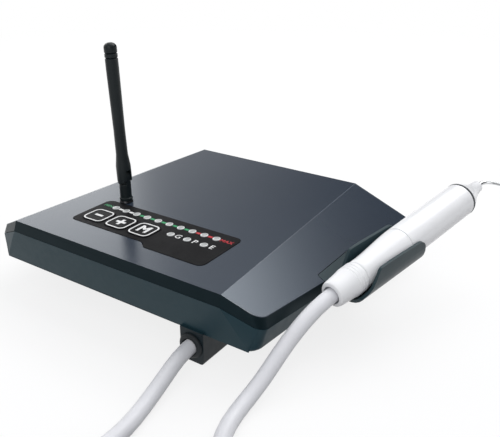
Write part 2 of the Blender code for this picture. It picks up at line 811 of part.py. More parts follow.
def keypad_overlay():
    overlay = outline_mesh(
        "keypad_overlay", rounded(label_corners), label_top - LABEL_THICKNESS, label_top
    )
    sheet = place(overlay, "keypad_overlay", LABEL)
    low, high = label_floor, TOP_HEIGHT + WALL
    cuts = [outline_mesh("window", key_square(x, y, KEY_CLEARANCE), low, high) for x, y in key_spots.values()]
    for x, y in light_spots + mode_spots:
        cuts.append(rod_mesh("light_hole", LIGHT_RADIUS + GAP, (x, y, low), (x, y, high), 12))
    combine(sheet, tool(merge_meshes("overlay_windows", cuts), "overlay_windows"))
    return sheet


key_flange_top = roof - KEY_CLEARANCE
key_flange_bottom = key_flange_top - 1.2 * MM
switch_top = key_flange_bottom - KEY_TRAVEL - 1.4 * MM


def keys():
    for name, (x, y) in key_spots.items():
        cap_top = label_top + KEY_RISE
        cap = outline_mesh(name, key_square(x, y, 0.0), key_flange_bottom, cap_top)
        cap = softened_mesh(cap, on_level(cap_top), 0.4 * MM, 2)
        key = place(cap, name, LABEL)
        square = key_square(x, y, 2.4 * KEY_CLEARANCE)
        collar = outline_mesh("key_collar", square, key_flange_bottom, key_flange_top)
        combine(key, tool(collar, name + "_collar"), "UNION")
        foot = rod_mesh("stem", 2 * MM, (x, y, switch_top + KEY_TRAVEL + GAP), (x, y, roof), 12)
        combine(key, tool(foot, name + "_stem"), "UNION")


def light_guide(name, spots):
    """A moulded strip with one round post for each light."""
    bar_top = label_floor - GAP
    strip = place(slot_box(name, spots, key_flange_bottom, bar_top, 0.0), name, LENS)
    posts = []
    for x, y in spots:
        post = rod_mesh("post", LIGHT_RADIUS, (x, y, bar_top - GAP), (x, y, label_top + LABEL_RISE), 12)
        posts.append(post)
    combine(strip, tool(merge_meshes(name + "_posts", posts), name + "_posts"), "UNION")
    return strip


# ---------------------------------------------------------------- handpiece and cradle frames

hand_direction = Vector(
    (sin(HAND_YAW) * cos(HAND_PITCH), cos(HAND_YAW) * cos(HAND_PITCH), sin(HAND_PITCH))
)
hand_tail = Vector((HAND_X, HAND_Y, HAND_HEIGHT))


def lying(start, yaw, pitch):
    """A frame with its Z along a yawed and pitched axis and its Y up."""
    along = Vector((sin(yaw) * cos(pitch), cos(yaw) * cos(pitch), sin(pitch)))
    right = Vector((cos(yaw), -sin(yaw), 0))
    upward = right.cross(along)
    turn = Matrix((right, upward, -along)).transposed().to_4x4()
    flip = Matrix.Rotation(pi, 4, "Y")
    return Matrix.Translation(start) @ turn @ flip


hand_frame = lying(hand_tail, HAND_YAW, HAND_PITCH)


# ---------------------------------------------------------------- cradle


def handpiece_cradle():
    """The trough is drawn in its own frame: X to the side, Y up, Z along it, from below the tail face."""
    level = -sin(TROUGH_PITCH)
    up_axis = Vector((sin(HAND_YAW) * level, cos(HAND_YAW) * level, cos(TROUGH_PITCH)))
    start = hand_tail + hand_direction * NUT_LENGTH + up_axis * TROUGH_LIFT
    frame = lying(start, HAND_YAW, TROUGH_PITCH)
    outer = TROUGH_RADIUS + TROUGH_WALL
    front, back = TROUGH_START - NUT_LENGTH, TROUGH_END - NUT_LENGTH

    def channel(radius, top, steps):
        points = [(radius, top), (-radius, top)]
        for step in range(steps + 1):
            angle = pi + pi * step / steps
            points.append((radius * cos(angle), radius * sin(angle)))
        return points

    body = outline_mesh("handpiece_cradle", channel(outer, TROUGH_SIDE, 14), front, back)
    cradle = place(body, "handpiece_cradle", TEAL, at=frame)

    side_view = [
        (front, -2 * outer, 0.0),
        (front, -0.70 * outer, 2.4 * MM),
        (front + 6.5 * MM, -0.34 * outer, 5.0 * MM),
        (front + 13.5 * MM, TROUGH_SIDE + 0.4 * MM, 4.0 * MM),
        (back, TROUGH_SIDE - 1.5 * MM, 5.2 * MM),
        (back, -2 * outer, 0.0),
    ]
    side_view = rounded([(-z, y, r) for z, y, r in side_view], 5)
    trim = outline_mesh("cradle_side", side_view, -2 * outer, 2 * outer)
    skewed = frame @ Matrix.Rotation(-TROUGH_SKEW, 4, "Y") @ Matrix.Rotation(pi / 2, 4, "Y")
    combine(cradle, tool(trim, "cradle_side", at=skewed), "INTERSECT")

    flange = outline_mesh("cradle_flange", flange_outline(0.0, FLANGE_REACH), -FLANGE_THICKNESS, 0.0)
    combine(cradle, tool(flange, "cradle_flange", at=flange_frame()), "UNION")
    pegs = [
        rod_mesh("peg", PEG_RADIUS, (x, y, -FLANGE_THICKNESS - 3 * MM), (x, y, -FLANGE_THICKNESS / 2), 10)
        for x, y in peg_spots
    ]
    combine(cradle, tool(merge_meshes("cradle_pegs", pegs), "cradle_pegs", at=flange_frame()), "UNION")

    web = box_mesh(
        "cradle_web",
        (FLANGE_REACH - WEB_THICKNESS, GAP, -FLANGE_THICKNESS / 2),
        (FLANGE_REACH, FLANGE_LENGTH - FLANGE_ROUND, WEB_HEIGHT),
    )
    combine(cradle, tool(web, "cradle_web", at=flange_frame()), "UNION")

    bed = outline_mesh("cradle_bed", channel(TROUGH_RADIUS, 4 * outer, 14), front - outer, back + outer)
    combine(cradle, tool(bed, "cradle_bed", at=frame))
    return cradle


# ---------------------------------------------------------------- handpiece


def handpiece():
    def part(name, profile, material, closed=False, steps=20):
        return turned(name, profile, material, at=hand_frame, closed=closed, steps=steps)

    groove = 0.35 * MM
    rim = NUT_HEAD_RADIUS
    socket = HOSE_SOCKET_RADIUS
    nut = [(0, NUT_LENGTH), (rim - 1.0 * MM, NUT_LENGTH), (rim - 0.2 * MM, NUT_LENGTH - 0.7 * MM)]
    for ring in range(3):
        top = NUT_LENGTH - 1.6 * MM - ring * 1.8 * MM
        nut += [(rim, top), (rim, top - 0.9 * MM)]
        nut += [(rim - groove, top - 1.1 * MM), (rim - groove, top - 1.6 * MM)]
    nut += [
        (rim, NUT_LENGTH - 7.2 * MM),
        (NUT_TAIL_RADIUS + 0.5 * MM, 2.0 * MM),
        (NUT_TAIL_RADIUS, 0.8 * MM),
        (NUT_TAIL_RADIUS - 0.8 * MM, 0),
        (socket, 0),
        (socket, HOSE_SOCKET_DEPTH),
        (0, HOSE_SOCKET_DEPTH),
    ]
    part("tail_nut", nut, WHITE)

    # The grip swells from the neck to the barrel along a cosine
    swell = []
    for step in range(8):
        share = step / 7
        reach = SWELL_END - share * (SWELL_END - NECK_AT)
        swell.append((NECK_RADIUS + (BARREL_RADIUS - NECK_RADIUS) * (1 + cos(pi * share)) / 2, reach))
    grip_start = NUT_LENGTH + GAP
    core = 3.0 * MM
    grip = [
        (core, GRIP_END),
        (BARREL_RADIUS - 0.3 * MM, GRIP_END),
        (BARREL_RADIUS, GRIP_END - 0.3 * MM),
        *swell,
        (NECK_RADIUS + 0.1 * MM, grip_start + 2 * MM),
        (NECK_RADIUS - 0.2 * MM, grip_start + 0.3 * MM),
        (NECK_RADIUS - 0.5 * MM, grip_start),
        (core, grip_start),
    ]
    part("grip_sleeve", grip, WHITE, closed=True)

    barrel_start = GRIP_END + GAP
    bore = BARREL_RADIUS - BARREL_WALL
    floor = barrel_start + 3 * MM
    barrel = [
        (bore, BARREL_END),
        (BARREL_RADIUS, BARREL_END),
        (BARREL_RADIUS, barrel_start),
        (core, barrel_start),
        (core, floor),
        (bore, floor),
    ]
    part("barrel", barrel, WHITE, closed=True)

    ring_top = BARREL_END + GAP + RING_WIDTH
    ring = [
        (bore, ring_top),
        (BARREL_RADIUS - 0.2 * MM, ring_top),
        (BARREL_RADIUS + 0.1 * MM, ring_top - RING_WIDTH / 2),
        (BARREL_RADIUS - 0.2 * MM, BARREL_END + GAP),
        (bore, BARREL_END + GAP),
    ]
    part("seal_ring", ring, RUBBER, closed=True)

    cone_start = ring_top + GAP
    cone_end = cone_start + CONE_LENGTH
    horn_hole = 2.2 * MM
    cone = [
        (horn_hole, cone_end),
        (CONE_END_RADIUS - 0.5 * MM, cone_end),
        (CONE_END_RADIUS, cone_end - 0.6 * MM),
        (CONE_END_RADIUS + 0.5 * MM, cone_end - 4 * MM),
        (0.62 * BARREL_RADIUS, cone_start + 0.42 * CONE_LENGTH),
        (0.86 * BARREL_RADIUS, cone_start + 0.15 * CONE_LENGTH),
        (BARREL_RADIUS - 0.3 * MM, cone_start + 0.6 * MM),
        (BARREL_RADIUS - 0.5 * MM, cone_start),
        (bore, cone_start),
        (horn_hole + 2.4 * MM, cone_start + 0.45 * CONE_LENGTH),
        (horn_hole, cone_end - 6 * MM),
    ]
    part("nose_cone", cone, WHITE, closed=True)

    # The transducer: back mass, ceramic rings and horn in line down the barrel
    mass_start = floor + 4 * MM
    mass_end = mass_start + 10 * MM
    mass_radius = bore - 1.6 * MM
    mass = [(0, mass_end), (mass_radius, mass_end), (mass_radius, mass_start), (0, mass_start)]
    part("back_mass", mass, STEEL, steps=16)
    stack_start, stack_end = mass_end + GAP, mass_end + GAP + 9 * MM
    stack = [(0, stack_end), (mass_radius, stack_end)]
    for gap in (1, 2, 3):
        at = stack_end - gap * (stack_end - stack_start) / 4
        stack += [(mass_radius, at + 0.2 * MM), (mass_radius + 0.5 * MM, at + 0.2 * MM)]
        stack += [(mass_radius + 0.5 * MM, at - 0.2 * MM), (mass_radius, at - 0.2 * MM)]
    stack += [(mass_radius, stack_start), (0, stack_start)]
    part("piezo_stack", stack, CERAMIC, steps=16)
    horn_start = stack_end + GAP
    horn = [
        (0, cone_end - 2 * MM),
        (horn_hole - GAP, cone_end - 2 * MM),
        (horn_hole - GAP, cone_start + 8 * MM),
        (horn_hole + 0.9 * MM, BARREL_END - 4 * MM),
        (mass_radius, BARREL_END - 14 * MM),
        (mass_radius, horn_start),
        (0, horn_start),
    ]
    part("horn", horn, STEEL, steps=16)

    tip_start = cone_end - 2 * MM + GAP
    bend = cone_end + TIP_STRAIGHT
    route = [
        (0, tip_start),
        (0, cone_end + 2.0 * MM),
        (-0.02 * TIP_REACH, bend - 1.6 * MM),
        (-0.13 * TIP_REACH, bend + 0.7 * MM),
        (-0.38 * TIP_REACH, bend + 2.0 * MM),
        (-0.70 * TIP_REACH, bend + 1.9 * MM),
        (-TIP_REACH, bend - 0.6 * MM),
    ]
    spots = smooth_route([Vector((x, 0, z)) for x, z in route], 14)
    tip = bpy.data.curves.new("scaler_tip", "CURVE")
    tip.dimensions = "3D"
    tip.use_fill_caps = True
    tip.bevel_depth = 1.0
    tip.bevel_resolution = 2
    line = tip.splines.new("POLY")
    line.points.add(len(spots) - 1)
    for index, (point, spot) in enumerate(zip(line.points, spots)):
        point.co = (*spot, 1.0)
        share = index / (len(spots) - 1)
        point.radius = TIP_ROOT_RADIUS + (TIP_POINT_RADIUS - TIP_ROOT_RADIUS) * share
    place(curve_mesh(tip), "scaler_tip", STEEL, at=hand_frame)


# ---------------------------------------------------------------- hose


def smooth_route(points, count):
    """Evenly spaced points on a smooth curve through the given ones."""
    padded = [points[0] * 2 - points[1], *points, points[-1] * 2 - points[-2]]
    fine = []
    for index in range(1, len(padded) - 2):
        p0, p1, p2, p3 = padded[index - 1 : index + 3]
        for step in range(12):
            t = step / 12
            bent = (2 * p0 - 5 * p1 + 4 * p2 - p3) * t * t + (3 * p1 - p0 - 3 * p2 + p3) * t**3
            fine.append((2 * p1 + (p2 - p0) * t + bent) / 2)
    fine.append(points[-1])
    lengths = [0.0]
    for first, second in zip(fine, fine[1:]):
        lengths.append(lengths[-1] + (second - first).length)
    spots = []
    index = 0
    for step in range(count):
        goal = lengths[-1] * step / (count - 1)
        while index < len(fine) - 2 and lengths[index + 1] < goal:
            index += 1
        share = (goal - lengths[index]) / (lengths[index + 1] - lengths[index])
        spots.append(fine[index].lerp(fine[index + 1], share))
    return spots


hose_radius = HOSE_DIAMETER / 2
gland_face_y = nose_front_y + GLAND_DEPTH - GAP - GLAND_LENGTH
hose_start = Vector((GLAND_X, gland_face_y - GAP, GLAND_HEIGHT))
hose_end = hand_tail + hand_direction * (HOSE_SOCKET_DEPTH - GAP)


def hose_route(*spots):
    return [Vector(spot) * MM for spot in spots]


def coil_meeting(angle, side, height, further=0.0):
    """Where a run stops by the coil: on the tangent of its outer turn, just clear of the ring."""
    lane = COIL_TURN_RADIUS + (COIL_COLUMNS - 1) * hose_radius
    clear_radius = lane + hose_radius + 1.5 * GAP
    stand_off = sqrt(clear_radius**2 - (lane - hose_radius) ** 2) + further
    outward = Vector((cos(angle), sin(angle), 0))
    tangent = Vector((-sin(angle), cos(angle), 0)) * side
    return Vector((COIL_X, COIL_Y, height)) + outward * lane + tangent * stand_off


unit_route = [
    hose_start,
    hose_start + Vector((0, -9 * MM, -0.3 * MM)),
    *hose_route(
        (53.3, -93.0, 8.8), (54.8, -104.0, 5.6), (56.6, -114.5, 4.0), (59.0, -124.0, 3.8),
        (60.6, -133.0, 3.8), (61.1, -142.0, 3.8),
    ),
    coil_meeting(COIL_ENTRY, -1, hose_radius),
]
hand_route = [
    coil_meeting(COIL_EXIT, 1, 2.2 * hose_radius),
    coil_meeting(COIL_EXIT, 1, 1.65 * hose_radius, 9 * MM),
    *hose_route(
        (99.4, -120.6, 4.6), (95.6, -113.0, 3.9), (93.4, -104.0, 3.8), (92.3, -94.5, 4.0),
        (93.0, -86.5, 6.0), (94.4, -79.6, 10.2), (96.0, -72.5, 16.8), (98.0, -64.2, 23.8),
        (100.3, -55.0, 29.0),
    ),
    hand_tail - hand_direction * 9 * MM,
    hose_end,
]


def hose_run(name, route, count):
    curve = bpy.data.curves.new(name, "CURVE")
    curve.dimensions = "3D"
    curve.bevel_depth = hose_radius
    curve.bevel_resolution = 3
    curve.use_fill_caps = True
    line = curve.splines.new("POLY")
    line.points.add(count - 1)
    for point, spot in zip(line.points, smooth_route(route, count)):
        point.co = (*spot, 1.0)
    return place(curve, name, HOSE)


def hose_coil():
    half_width = COIL_COLUMNS * hose_radius
    height = COIL_LAYERS * HOSE_DIAMETER
    lip = 2.4 * MM
    inner, outer = COIL_TURN_RADIUS - half_width, COIL_TURN_RADIUS + half_width
    ring = [
        (inner + lip, height),
        (outer - lip, height),
        (outer, height - lip),
        (outer, lip),
        (outer - lip, 0),
        (inner + lip, 0),
        (inner, lip),
        (inner, height - lip),
    ]
    spot = Matrix.Translation((COIL_X, COIL_Y, 0))
    return turned("hose_coil", ring, HOSE, at=spot, closed=True, steps=32)


def hose_gland():
    """A grommet pressed into the nose, with a stem for the wires behind it."""
    front = GLAND_LENGTH
    radius = GLAND_RADIUS - GAP
    stem = WIRE_BORE_RADIUS - GAP
    profile = [
        (0, front),
        (radius - 0.8 * MM, front),
        (radius, front - 0.8 * MM),
        (radius, 0),
        (stem, 0),
        (stem, -8 * MM),
        (0, -8 * MM),
    ]
    spot = Matrix.Translation((GLAND_X, nose_front_y + GLAND_DEPTH - GAP, GLAND_HEIGHT)) @ facing_front()
    return turned("hose_gland", profile, RUBBER, at=spot)


# ---------------------------------------------------------------- aerial


def aerial():
    ground = TOP_HEIGHT
    bush = KNUCKLE_RADIUS - GAP
    skirt = 1.0 * MM
    spot = Matrix.Translation((AERIAL_X, AERIAL_Y, 0))
    jack = [
        (0, ground + GAP + skirt),
        (KNUCKLE_RADIUS + 0.3 * MM, ground + GAP + skirt),
        (KNUCKLE_RADIUS + 0.6 * MM, ground + GAP),
        (bush, ground + GAP),
        (bush, roof - 3.5 * MM),
        (0, roof - 3.5 * MM),
    ]
    turned("aerial_jack", jack, BRASS, at=spot)
    clear = (bush + GAP) / cos(pi / 6)
    nut = [
        (clear, roof - GAP),
        (2 * bush, roof - GAP),
        (2 * bush, roof - GAP - 1.6 * MM),
        (clear, roof - GAP - 1.6 * MM),
    ]
    turned("aerial_nut", nut, STEEL, at=spot, closed=True, steps=6)

    bottom = ground + 2 * GAP + skirt
    hinge = AERIAL_HINGE_HEIGHT
    shoulder = hinge - AERIAL_BASE_RADIUS - 2 * GAP
    knuckle_profile = [
        (0, shoulder),
        (KNUCKLE_RADIUS - 0.3 * MM, shoulder),
        (KNUCKLE_RADIUS, shoulder - 0.4 * MM),
        (KNUCKLE_RADIUS, bottom + 1.6 * MM),
        (KNUCKLE_RADIUS + 0.4 * MM, bottom + 1.2 * MM),
        (KNUCKLE_RADIUS + 0.4 * MM, bottom),
        (0, bottom),
    ]
    knuckle = turned("aerial_knuckle", knuckle_profile, BLACK, at=spot)
    tongue_round = KNUCKLE_RADIUS - 0.3 * MM
    arch = [(-tongue_round, shoulder - MM - hinge), (tongue_round, shoulder - MM - hinge)]
    for step in range(9):
        angle = pi * step / 8
        arch.append((tongue_round * cos(angle), tongue_round * sin(angle)))
    tongue = outline_mesh("tongue", arch, -TONGUE_THICKNESS / 2, TONGUE_THICKNESS / 2)
    upright = Matrix.Translation((AERIAL_X, AERIAL_Y, hinge)) @ facing_front()
    combine(knuckle, tool(tongue, "tongue", at=upright), "UNION")
    reach = AERIAL_BASE_RADIUS
    eye = rod_mesh("eye", PIN_RADIUS + PIN_CLEARANCE, (0, 0, -reach), (0, 0, reach))
    combine(knuckle, tool(eye, "tongue_eye", at=upright))
    pin_ends = reach - 0.9 * MM
    pin = rod_mesh("aerial_pin", PIN_RADIUS, (0, 0, -pin_ends), (0, 0, pin_ends))
    place(pin, "aerial_pin", STEEL, at=upright)

    # The whip is drawn about its hinge, which is its origin
    top = AERIAL_TOP - hinge
    height = top - 10 * MM
    dome = AERIAL_HEAD_RADIUS
    whip_profile = [(0, top)]
    for step in range(1, 5):
        angle = pi / 2 * step / 4
        whip_profile.append((dome * sin(angle), top - dome * 0.7 * (1 - cos(angle))))
    for ring in range(2):
        low = top - 5.2 * MM - ring * 2.6 * MM
        whip_profile += [(dome, low), (dome - 0.5 * MM, low - 0.4 * MM), (dome, low - 0.8 * MM)]
    whip_profile += [
        (dome, height - 6 * MM),
        (AERIAL_WAIST_RADIUS, 0.42 * height),
        (AERIAL_WAIST_RADIUS + 0.15 * MM, 0.2 * height),
        (AERIAL_BASE_RADIUS, 6 * MM),
        (AERIAL_BASE_RADIUS, -AERIAL_BASE_RADIUS),
        (0, -AERIAL_BASE_RADIUS),
    ]
    at_hinge = Matrix.Translation((AERIAL_X, AERIAL_Y, hinge)) @ Matrix.Rotation(-AERIAL_LEAN, 4, "Y")
    whip = turned("aerial_whip", whip_profile, BLACK, at=at_hinge)
    wide = 2 * AERIAL_BASE_RADIUS
    end_round = AERIAL_BASE_RADIUS - 0.2 * MM
    round_foot = []
    for step in range(11):
        angle = pi + pi * step / 10
        round_foot.append((end_round * cos(angle), end_round * sin(angle)))
    above = [(wide, 4 * MM), (wide, 2 * top), (-wide, 2 * top), (-wide, 4 * MM)]
    shape = outline_mesh("fork_shape", round_foot + above, -wide, wide)
    combine(whip, tool(shape, "fork_shape", at=at_hinge @ facing_front()), "INTERSECT")
    half_slot = TONGUE_THICKNESS / 2 + FORK_CLEARANCE
    crotch = KNUCKLE_RADIUS + FORK_CLEARANCE
    slot = box_mesh("fork_slot", (-wide, -half_slot, -wide), (wide, half_slot, crotch))
    combine(whip, tool(slot, "fork_slot", at=at_hinge))
    eye_ends = pin_ends + GAP
    drilled = rod_mesh("fork_eye", PIN_RADIUS + PIN_CLEARANCE, (0, -eye_ends, 0), (0, eye_ends, 0))
    combine(whip, tool(drilled, "fork_eye", at=at_hinge))


# ---------------------------------------------------------------- back panel fittings


def at_panel(x):
    """The frame of a round fitting on the back panel: its Z points out."""
    return Matrix.Translation((x, panel_y, PANEL_HEIGHT)) @ facing_back()


def power_switch():
    frame = at_panel(SWITCH_X)
    half_w, half_h = SWITCH_WIDTH / 2, SWITCH_HEIGHT / 2
    lip = SWITCH_BEZEL
    bezel = outline_mesh(
        "switch_frame",
        rounded(rectangle(-half_w - lip, -half_h - lip, half_w + lip, half_h + lip, 1.2 * MM), 3),
        GAP,
        GAP + 1.2 * MM,
    )
    housing = place(bezel, "switch_frame", BLACK, at=frame)
    deep = 12 * MM
    low, high = (-half_w + GAP, -half_h + GAP, -deep), (half_w - GAP, half_h - GAP, 0.6 * MM)
    body = box_mesh("switch_body", low, high)
    combine(housing, tool(body, "switch_body", at=frame), "UNION")
    well_w, well_h = half_w - 1.5 * MM, half_h - 1.6 * MM
    well = box_mesh("switch_well", (-well_w, -well_h, -7.6 * MM), (well_w, well_h, 9 * MM))
    combine(housing, tool(well, "switch_well", at=frame))
    # The rocker is drawn about its pivot, with its length across the unit and one end pressed in
    clearance = 0.35 * MM
    rocker_half = well_w - clearance
    pivot = -2.5 * MM
    rise = GAP + 1.2 * MM - pivot
    dish = [
        (-rocker_half + 0.4 * MM, -2.6 * MM),
        (rocker_half - 0.4 * MM, -2.6 * MM),
        (rocker_half - 0.2 * MM, rise - 0.6 * MM),
        (0.0, rise + 0.1 * MM),
        (-rocker_half + 1.3 * MM, rise + 1.4 * MM),
    ]
    face = outline_mesh("power_rocker", dish, -well_h + clearance, well_h - clearance)
    spot = frame @ Matrix.Translation((0, 0, pivot)) @ Matrix.Rotation(pi / 2, 4, "X")
    place(face, "power_rocker", BLACK, at=spot)


def power_socket():
    thick = SOCKET_RADIUS - GAP
    profile = [
        (0, -9.5 * MM),
        (SOCKET_BORE, -9.5 * MM),
        (SOCKET_BORE, GAP + 1.4 * MM),
        (SOCKET_RADIUS + 1.2 * MM, GAP + 1.4 * MM),
        (SOCKET_RADIUS + 1.5 * MM, GAP + 1.0 * MM),
        (SOCKET_RADIUS + 1.5 * MM, GAP),
        (thick, GAP),
        (thick, -11 * MM),
        (0, -11 * MM),
    ]
    turned("power_socket", profile, BLACK, at=at_panel(SOCKET_X))
    pin = [(0, -GAP), (0.8 * MM, -0.7 * MM), (0.8 * MM, -9.5 * MM + GAP), (0, -9.5 * MM + GAP)]
    turned("socket_pin", pin, STEEL, at=at_panel(SOCKET_X), steps=10)


def water_inlet():
    thick = INLET_RADIUS - GAP
    profile = [
        (1.2 * MM, 13.0 * MM),
        (2.1 * MM, 13.0 * MM),
        (2.9 * MM, 10.4 * MM),
        (2.2 * MM, 10.2 * MM),
        (2.9 * MM, 7.6 * MM),
        (2.2 * MM, 7.4 * MM),
        (2.9 * MM, 4.8 * MM),
        (2.2 * MM, 4.6 * MM),
        (2.2 * MM, 3.4 * MM),
        (INLET_RADIUS + 1.2 * MM, 3.4 * MM),
        (INLET_RADIUS + 1.6 * MM, 3.0 * MM),
        (INLET_RADIUS + 1.6 * MM, GAP),
        (thick, GAP),
        (thick, -10 * MM),
        (1.2 * MM, -10 * MM),
    ]
    turned("water_inlet", profile, BRASS, at=at_panel(INLET_X), closed=True)


def water_regulator():
    stem = KNOB_RADIUS / 2 - GAP
    body = [
        (0, 3.0 * MM),
        (1.8 * MM, 3.0 * MM),
        (1.8 * MM, GAP),
        (stem, GAP),
        (stem, -WALL - 1.0 * MM),
        (stem + 2.2 * MM, -WALL - 1.0 * MM),
        (stem + 2.2 * MM, -15 * MM),
        (0, -15 * MM),
    ]
    turned("regulator_valve", body, BRASS, at=at_panel(KNOB_X))
    low = 1.2 * MM
    high = low + KNOB_LENGTH
    cap = [
        (0, high),
        (KNOB_RADIUS - 1.2 * MM, high),
        (KNOB_RADIUS, high - 1.0 * MM),
        (KNOB_RADIUS, low + 1.6 * MM),
        (KNOB_RADIUS + 0.6 * MM, low + 1.2 * MM),
        (KNOB_RADIUS + 0.6 * MM, low),
        (1.8 * MM + GAP, low),
        (1.8 * MM + GAP, 3.0 * MM + GAP),
        (0, 3.0 * MM + GAP),
    ]
    knob = turned("water_knob", cap, BLACK, at=at_panel(KNOB_X), steps=24)
    flutes = []
    for index in range(KNOB_FLUTES):
        angle = 2 * pi * (index + 0.5) / KNOB_FLUTES
        x, y = (KNOB_RADIUS + 0.5 * MM) * cos(angle), (KNOB_RADIUS + 0.5 * MM) * sin(angle)
        flutes.append(rod_mesh("flute", 1.1 * MM, (x, y, low + 2.2 * MM), (x, y, high + MM), 6))
    combine(knob, tool(merge_meshes("knob_flutes", flutes), "knob_flutes", at=at_panel(KNOB_X)))


# ---------------------------------------------------------------- what is inside

board_top = switch_top - 3.5 * MM


def control_board():
    left, right = LABEL_LEFT + 2 * MM, LABEL_RIGHT - 2 * MM
    front, back = LABEL_FRONT_Y - 1.5 * MM, LABEL_BACK_Y - 2 * MM
    low = board_top - BOARD_THICKNESS
    panel = box_mesh("control_board", (left, front, low), (right, back, board_top))
    board = place(panel, "control_board", BOARD)
    chips = []
    for x, y in key_spots.values():
        near = (x - 3 * MM, y - 3 * MM, low + MM)
        chips.append(box_mesh("tact", near, (x + 3 * MM, y + 3 * MM, switch_top)))
    for x, y in light_spots + mode_spots:
        led_top = board_top + 1.6 * MM
        chips.append(box_mesh("led", (x - MM, y - MM, low + MM), (x + MM, y + MM, led_top)))
    combine(board, tool(merge_meshes("board_parts", chips), "board_parts"), "UNION")


drive_level = PLINTH_HEIGHT + WALL + 4 * MM


def drive_electronics():
    """Laid out from the board's front left corner."""
    width, depth = 52 * MM, 66 * MM
    left = PLINTH_WIDTH / 2 - 20 * MM - width
    front = plinth_front + 16 * MM
    low, high = drive_level, drive_level + BOARD_THICKNESS
    core_low = high + GAP

    def corner_box(name, across, along, bottom, top):
        """A box between two distances across the board and two along it."""
        near = (left + across[0] * MM, front + along[0] * MM, bottom)
        return box_mesh(name, near, (left + across[1] * MM, front + along[1] * MM, top))

    panel = box_mesh("drive_board", (left, front, low), (left + width, front + depth, high))
    board = place(panel, "drive_board", BOARD)
    lumps = [corner_box("chip", (8, 18), (8, 18), high - MM, high + 2 * MM)]
    for along in (6 * MM, 17 * MM):
        x, y = left + 30 * MM, front + along
        lumps.append(rod_mesh("capacitor", 4 * MM, (x, y, high - MM), (x, y, high + 13 * MM), 12))
    for along in (40, 56):
        lumps.append(corner_box("legs", (44, 46), (along, along + 5), high - MM, high + 4 * MM))
    combine(board, tool(merge_meshes("drive_parts", lumps), "drive_parts"), "UNION")

    core = corner_box("output_transformer", (6, 26), (32, 50), core_low, core_low + 16 * MM)
    core = place(core, "output_transformer", FERRITE)
    bobbin = corner_box("bobbin", (3.5, 28.5), (35, 47), core_low + 3 * MM, core_low + 13 * MM)
    combine(core, tool(bobbin, "bobbin"), "UNION")

    fin_count = 7
    sink_front, sink_back = 34, 64
    fins = corner_box("heat_sink", (33, 42.5), (sink_front, sink_back), core_low, core_low + 17 * MM)
    sink = place(fins, "heat_sink", STEEL)
    gaps = []
    pitch = (sink_back - sink_front) / fin_count
    for index in range(fin_count - 1):
        middle = sink_front + (index + 1) * pitch
        along = (middle - 1.1, middle + 1.1)
        gaps.append(corner_box("fin_gap", (32, 40), along, core_low + 3 * MM, core_low + 20 * MM))
    combine(sink, tool(merge_meshes("fin_gaps", gaps), "fin_gaps"))


def receiver_board():
    low = roof - 7 * MM
    x, y = AERIAL_X + 14 * MM, AERIAL_Y + 20 * MM
    near, far = (x - 22 * MM, y - 9 * MM, low), (x + 14 * MM, y + 13 * MM, low + BOARD_THICKNESS)
    board = place(box_mesh("receiver_board", near, far), "receiver_board", BOARD)
    can = box_mesh("radio_can", (x - 8 * MM, y - 5 * MM, low + MM), (x + 8 * MM, y + 9 * MM, low + 4.4 * MM))
    combine(board, tool(can, "radio_can"), "UNION")


left_back_post = post_spots[1]
valve_spot = (left_back_post[0] + 16 * MM, left_back_post[1] - 6 * MM, PLINTH_HEIGHT + WALL + GAP)


def water_valve():
    x, y, low = valve_spot
    body = place(
        box_mesh("solenoid_valve", (x - 9 * MM, y - 8 * MM, low), (x + 9 * MM, y + 8 * MM, low + 12 * MM)),
        "solenoid_valve",
        BRASS,
    )
    middle = low + 6 * MM
    nipples = rod_mesh("nipples", 2.2 * MM, (x, y - 12 * MM, middle), (x, y + 12 * MM, middle), 12)
    combine(body, tool(nipples, "nipples"), "UNION")
    coil_low = low + 12 * MM + GAP
    winding = rod_mesh("valve_coil", 8 * MM, (x, y, coil_low), (x, y, coil_low + 13 * MM), 20)
    place(winding, "valve_coil", FERRITE)

    water_level = low + 6 * MM
    tube("feed_tube", [
        Vector((KNOB_X, panel_y - 15 * MM - GAP, PANEL_HEIGHT)),
        Vector((KNOB_X, panel_y - 20 * MM, PANEL_HEIGHT - 1 * MM)),
        Vector((KNOB_X + 2 * MM, panel_y - 26 * MM, (PANEL_HEIGHT + water_level) / 2)),
        Vector((x, y + 16 * MM, water_level + 1 * MM)),
        Vector((x, y + 12 * MM + GAP, water_level)),
    ])
    bend = Vector((x + 8 * MM, plinth_front + 16 * MM, water_level))
    tube("hose_tube", [
        Vector((x, y - 12 * MM - GAP, water_level)),
        Vector((x, y - 18 * MM, water_level)),
        Vector((x + 2 * MM, y - 34 * MM, water_level)),
        bend,
        Vector((0, plinth_front + 10 * MM, GLAND_HEIGHT + MM)),
        Vector((GLAND_X - 12 * MM, plinth_front + 10 * MM, GLAND_HEIGHT + MM)),
    ])


def tube(name, route):
    spots = smooth_route(route, 14)
    curve = bpy.data.curves.new(name, "CURVE")
    curve.dimensions = "3D"
    curve.bevel_depth = 2.0 * MM
    curve.bevel_resolution = 1
    curve.use_fill_caps = True
    line = curve.splines.new("POLY")
    line.points.add(len(spots) - 1)
    for point, spot in zip(line.points, spots):
        point.co = (*spot, 1.0)
    return place(curve, name, LENS)


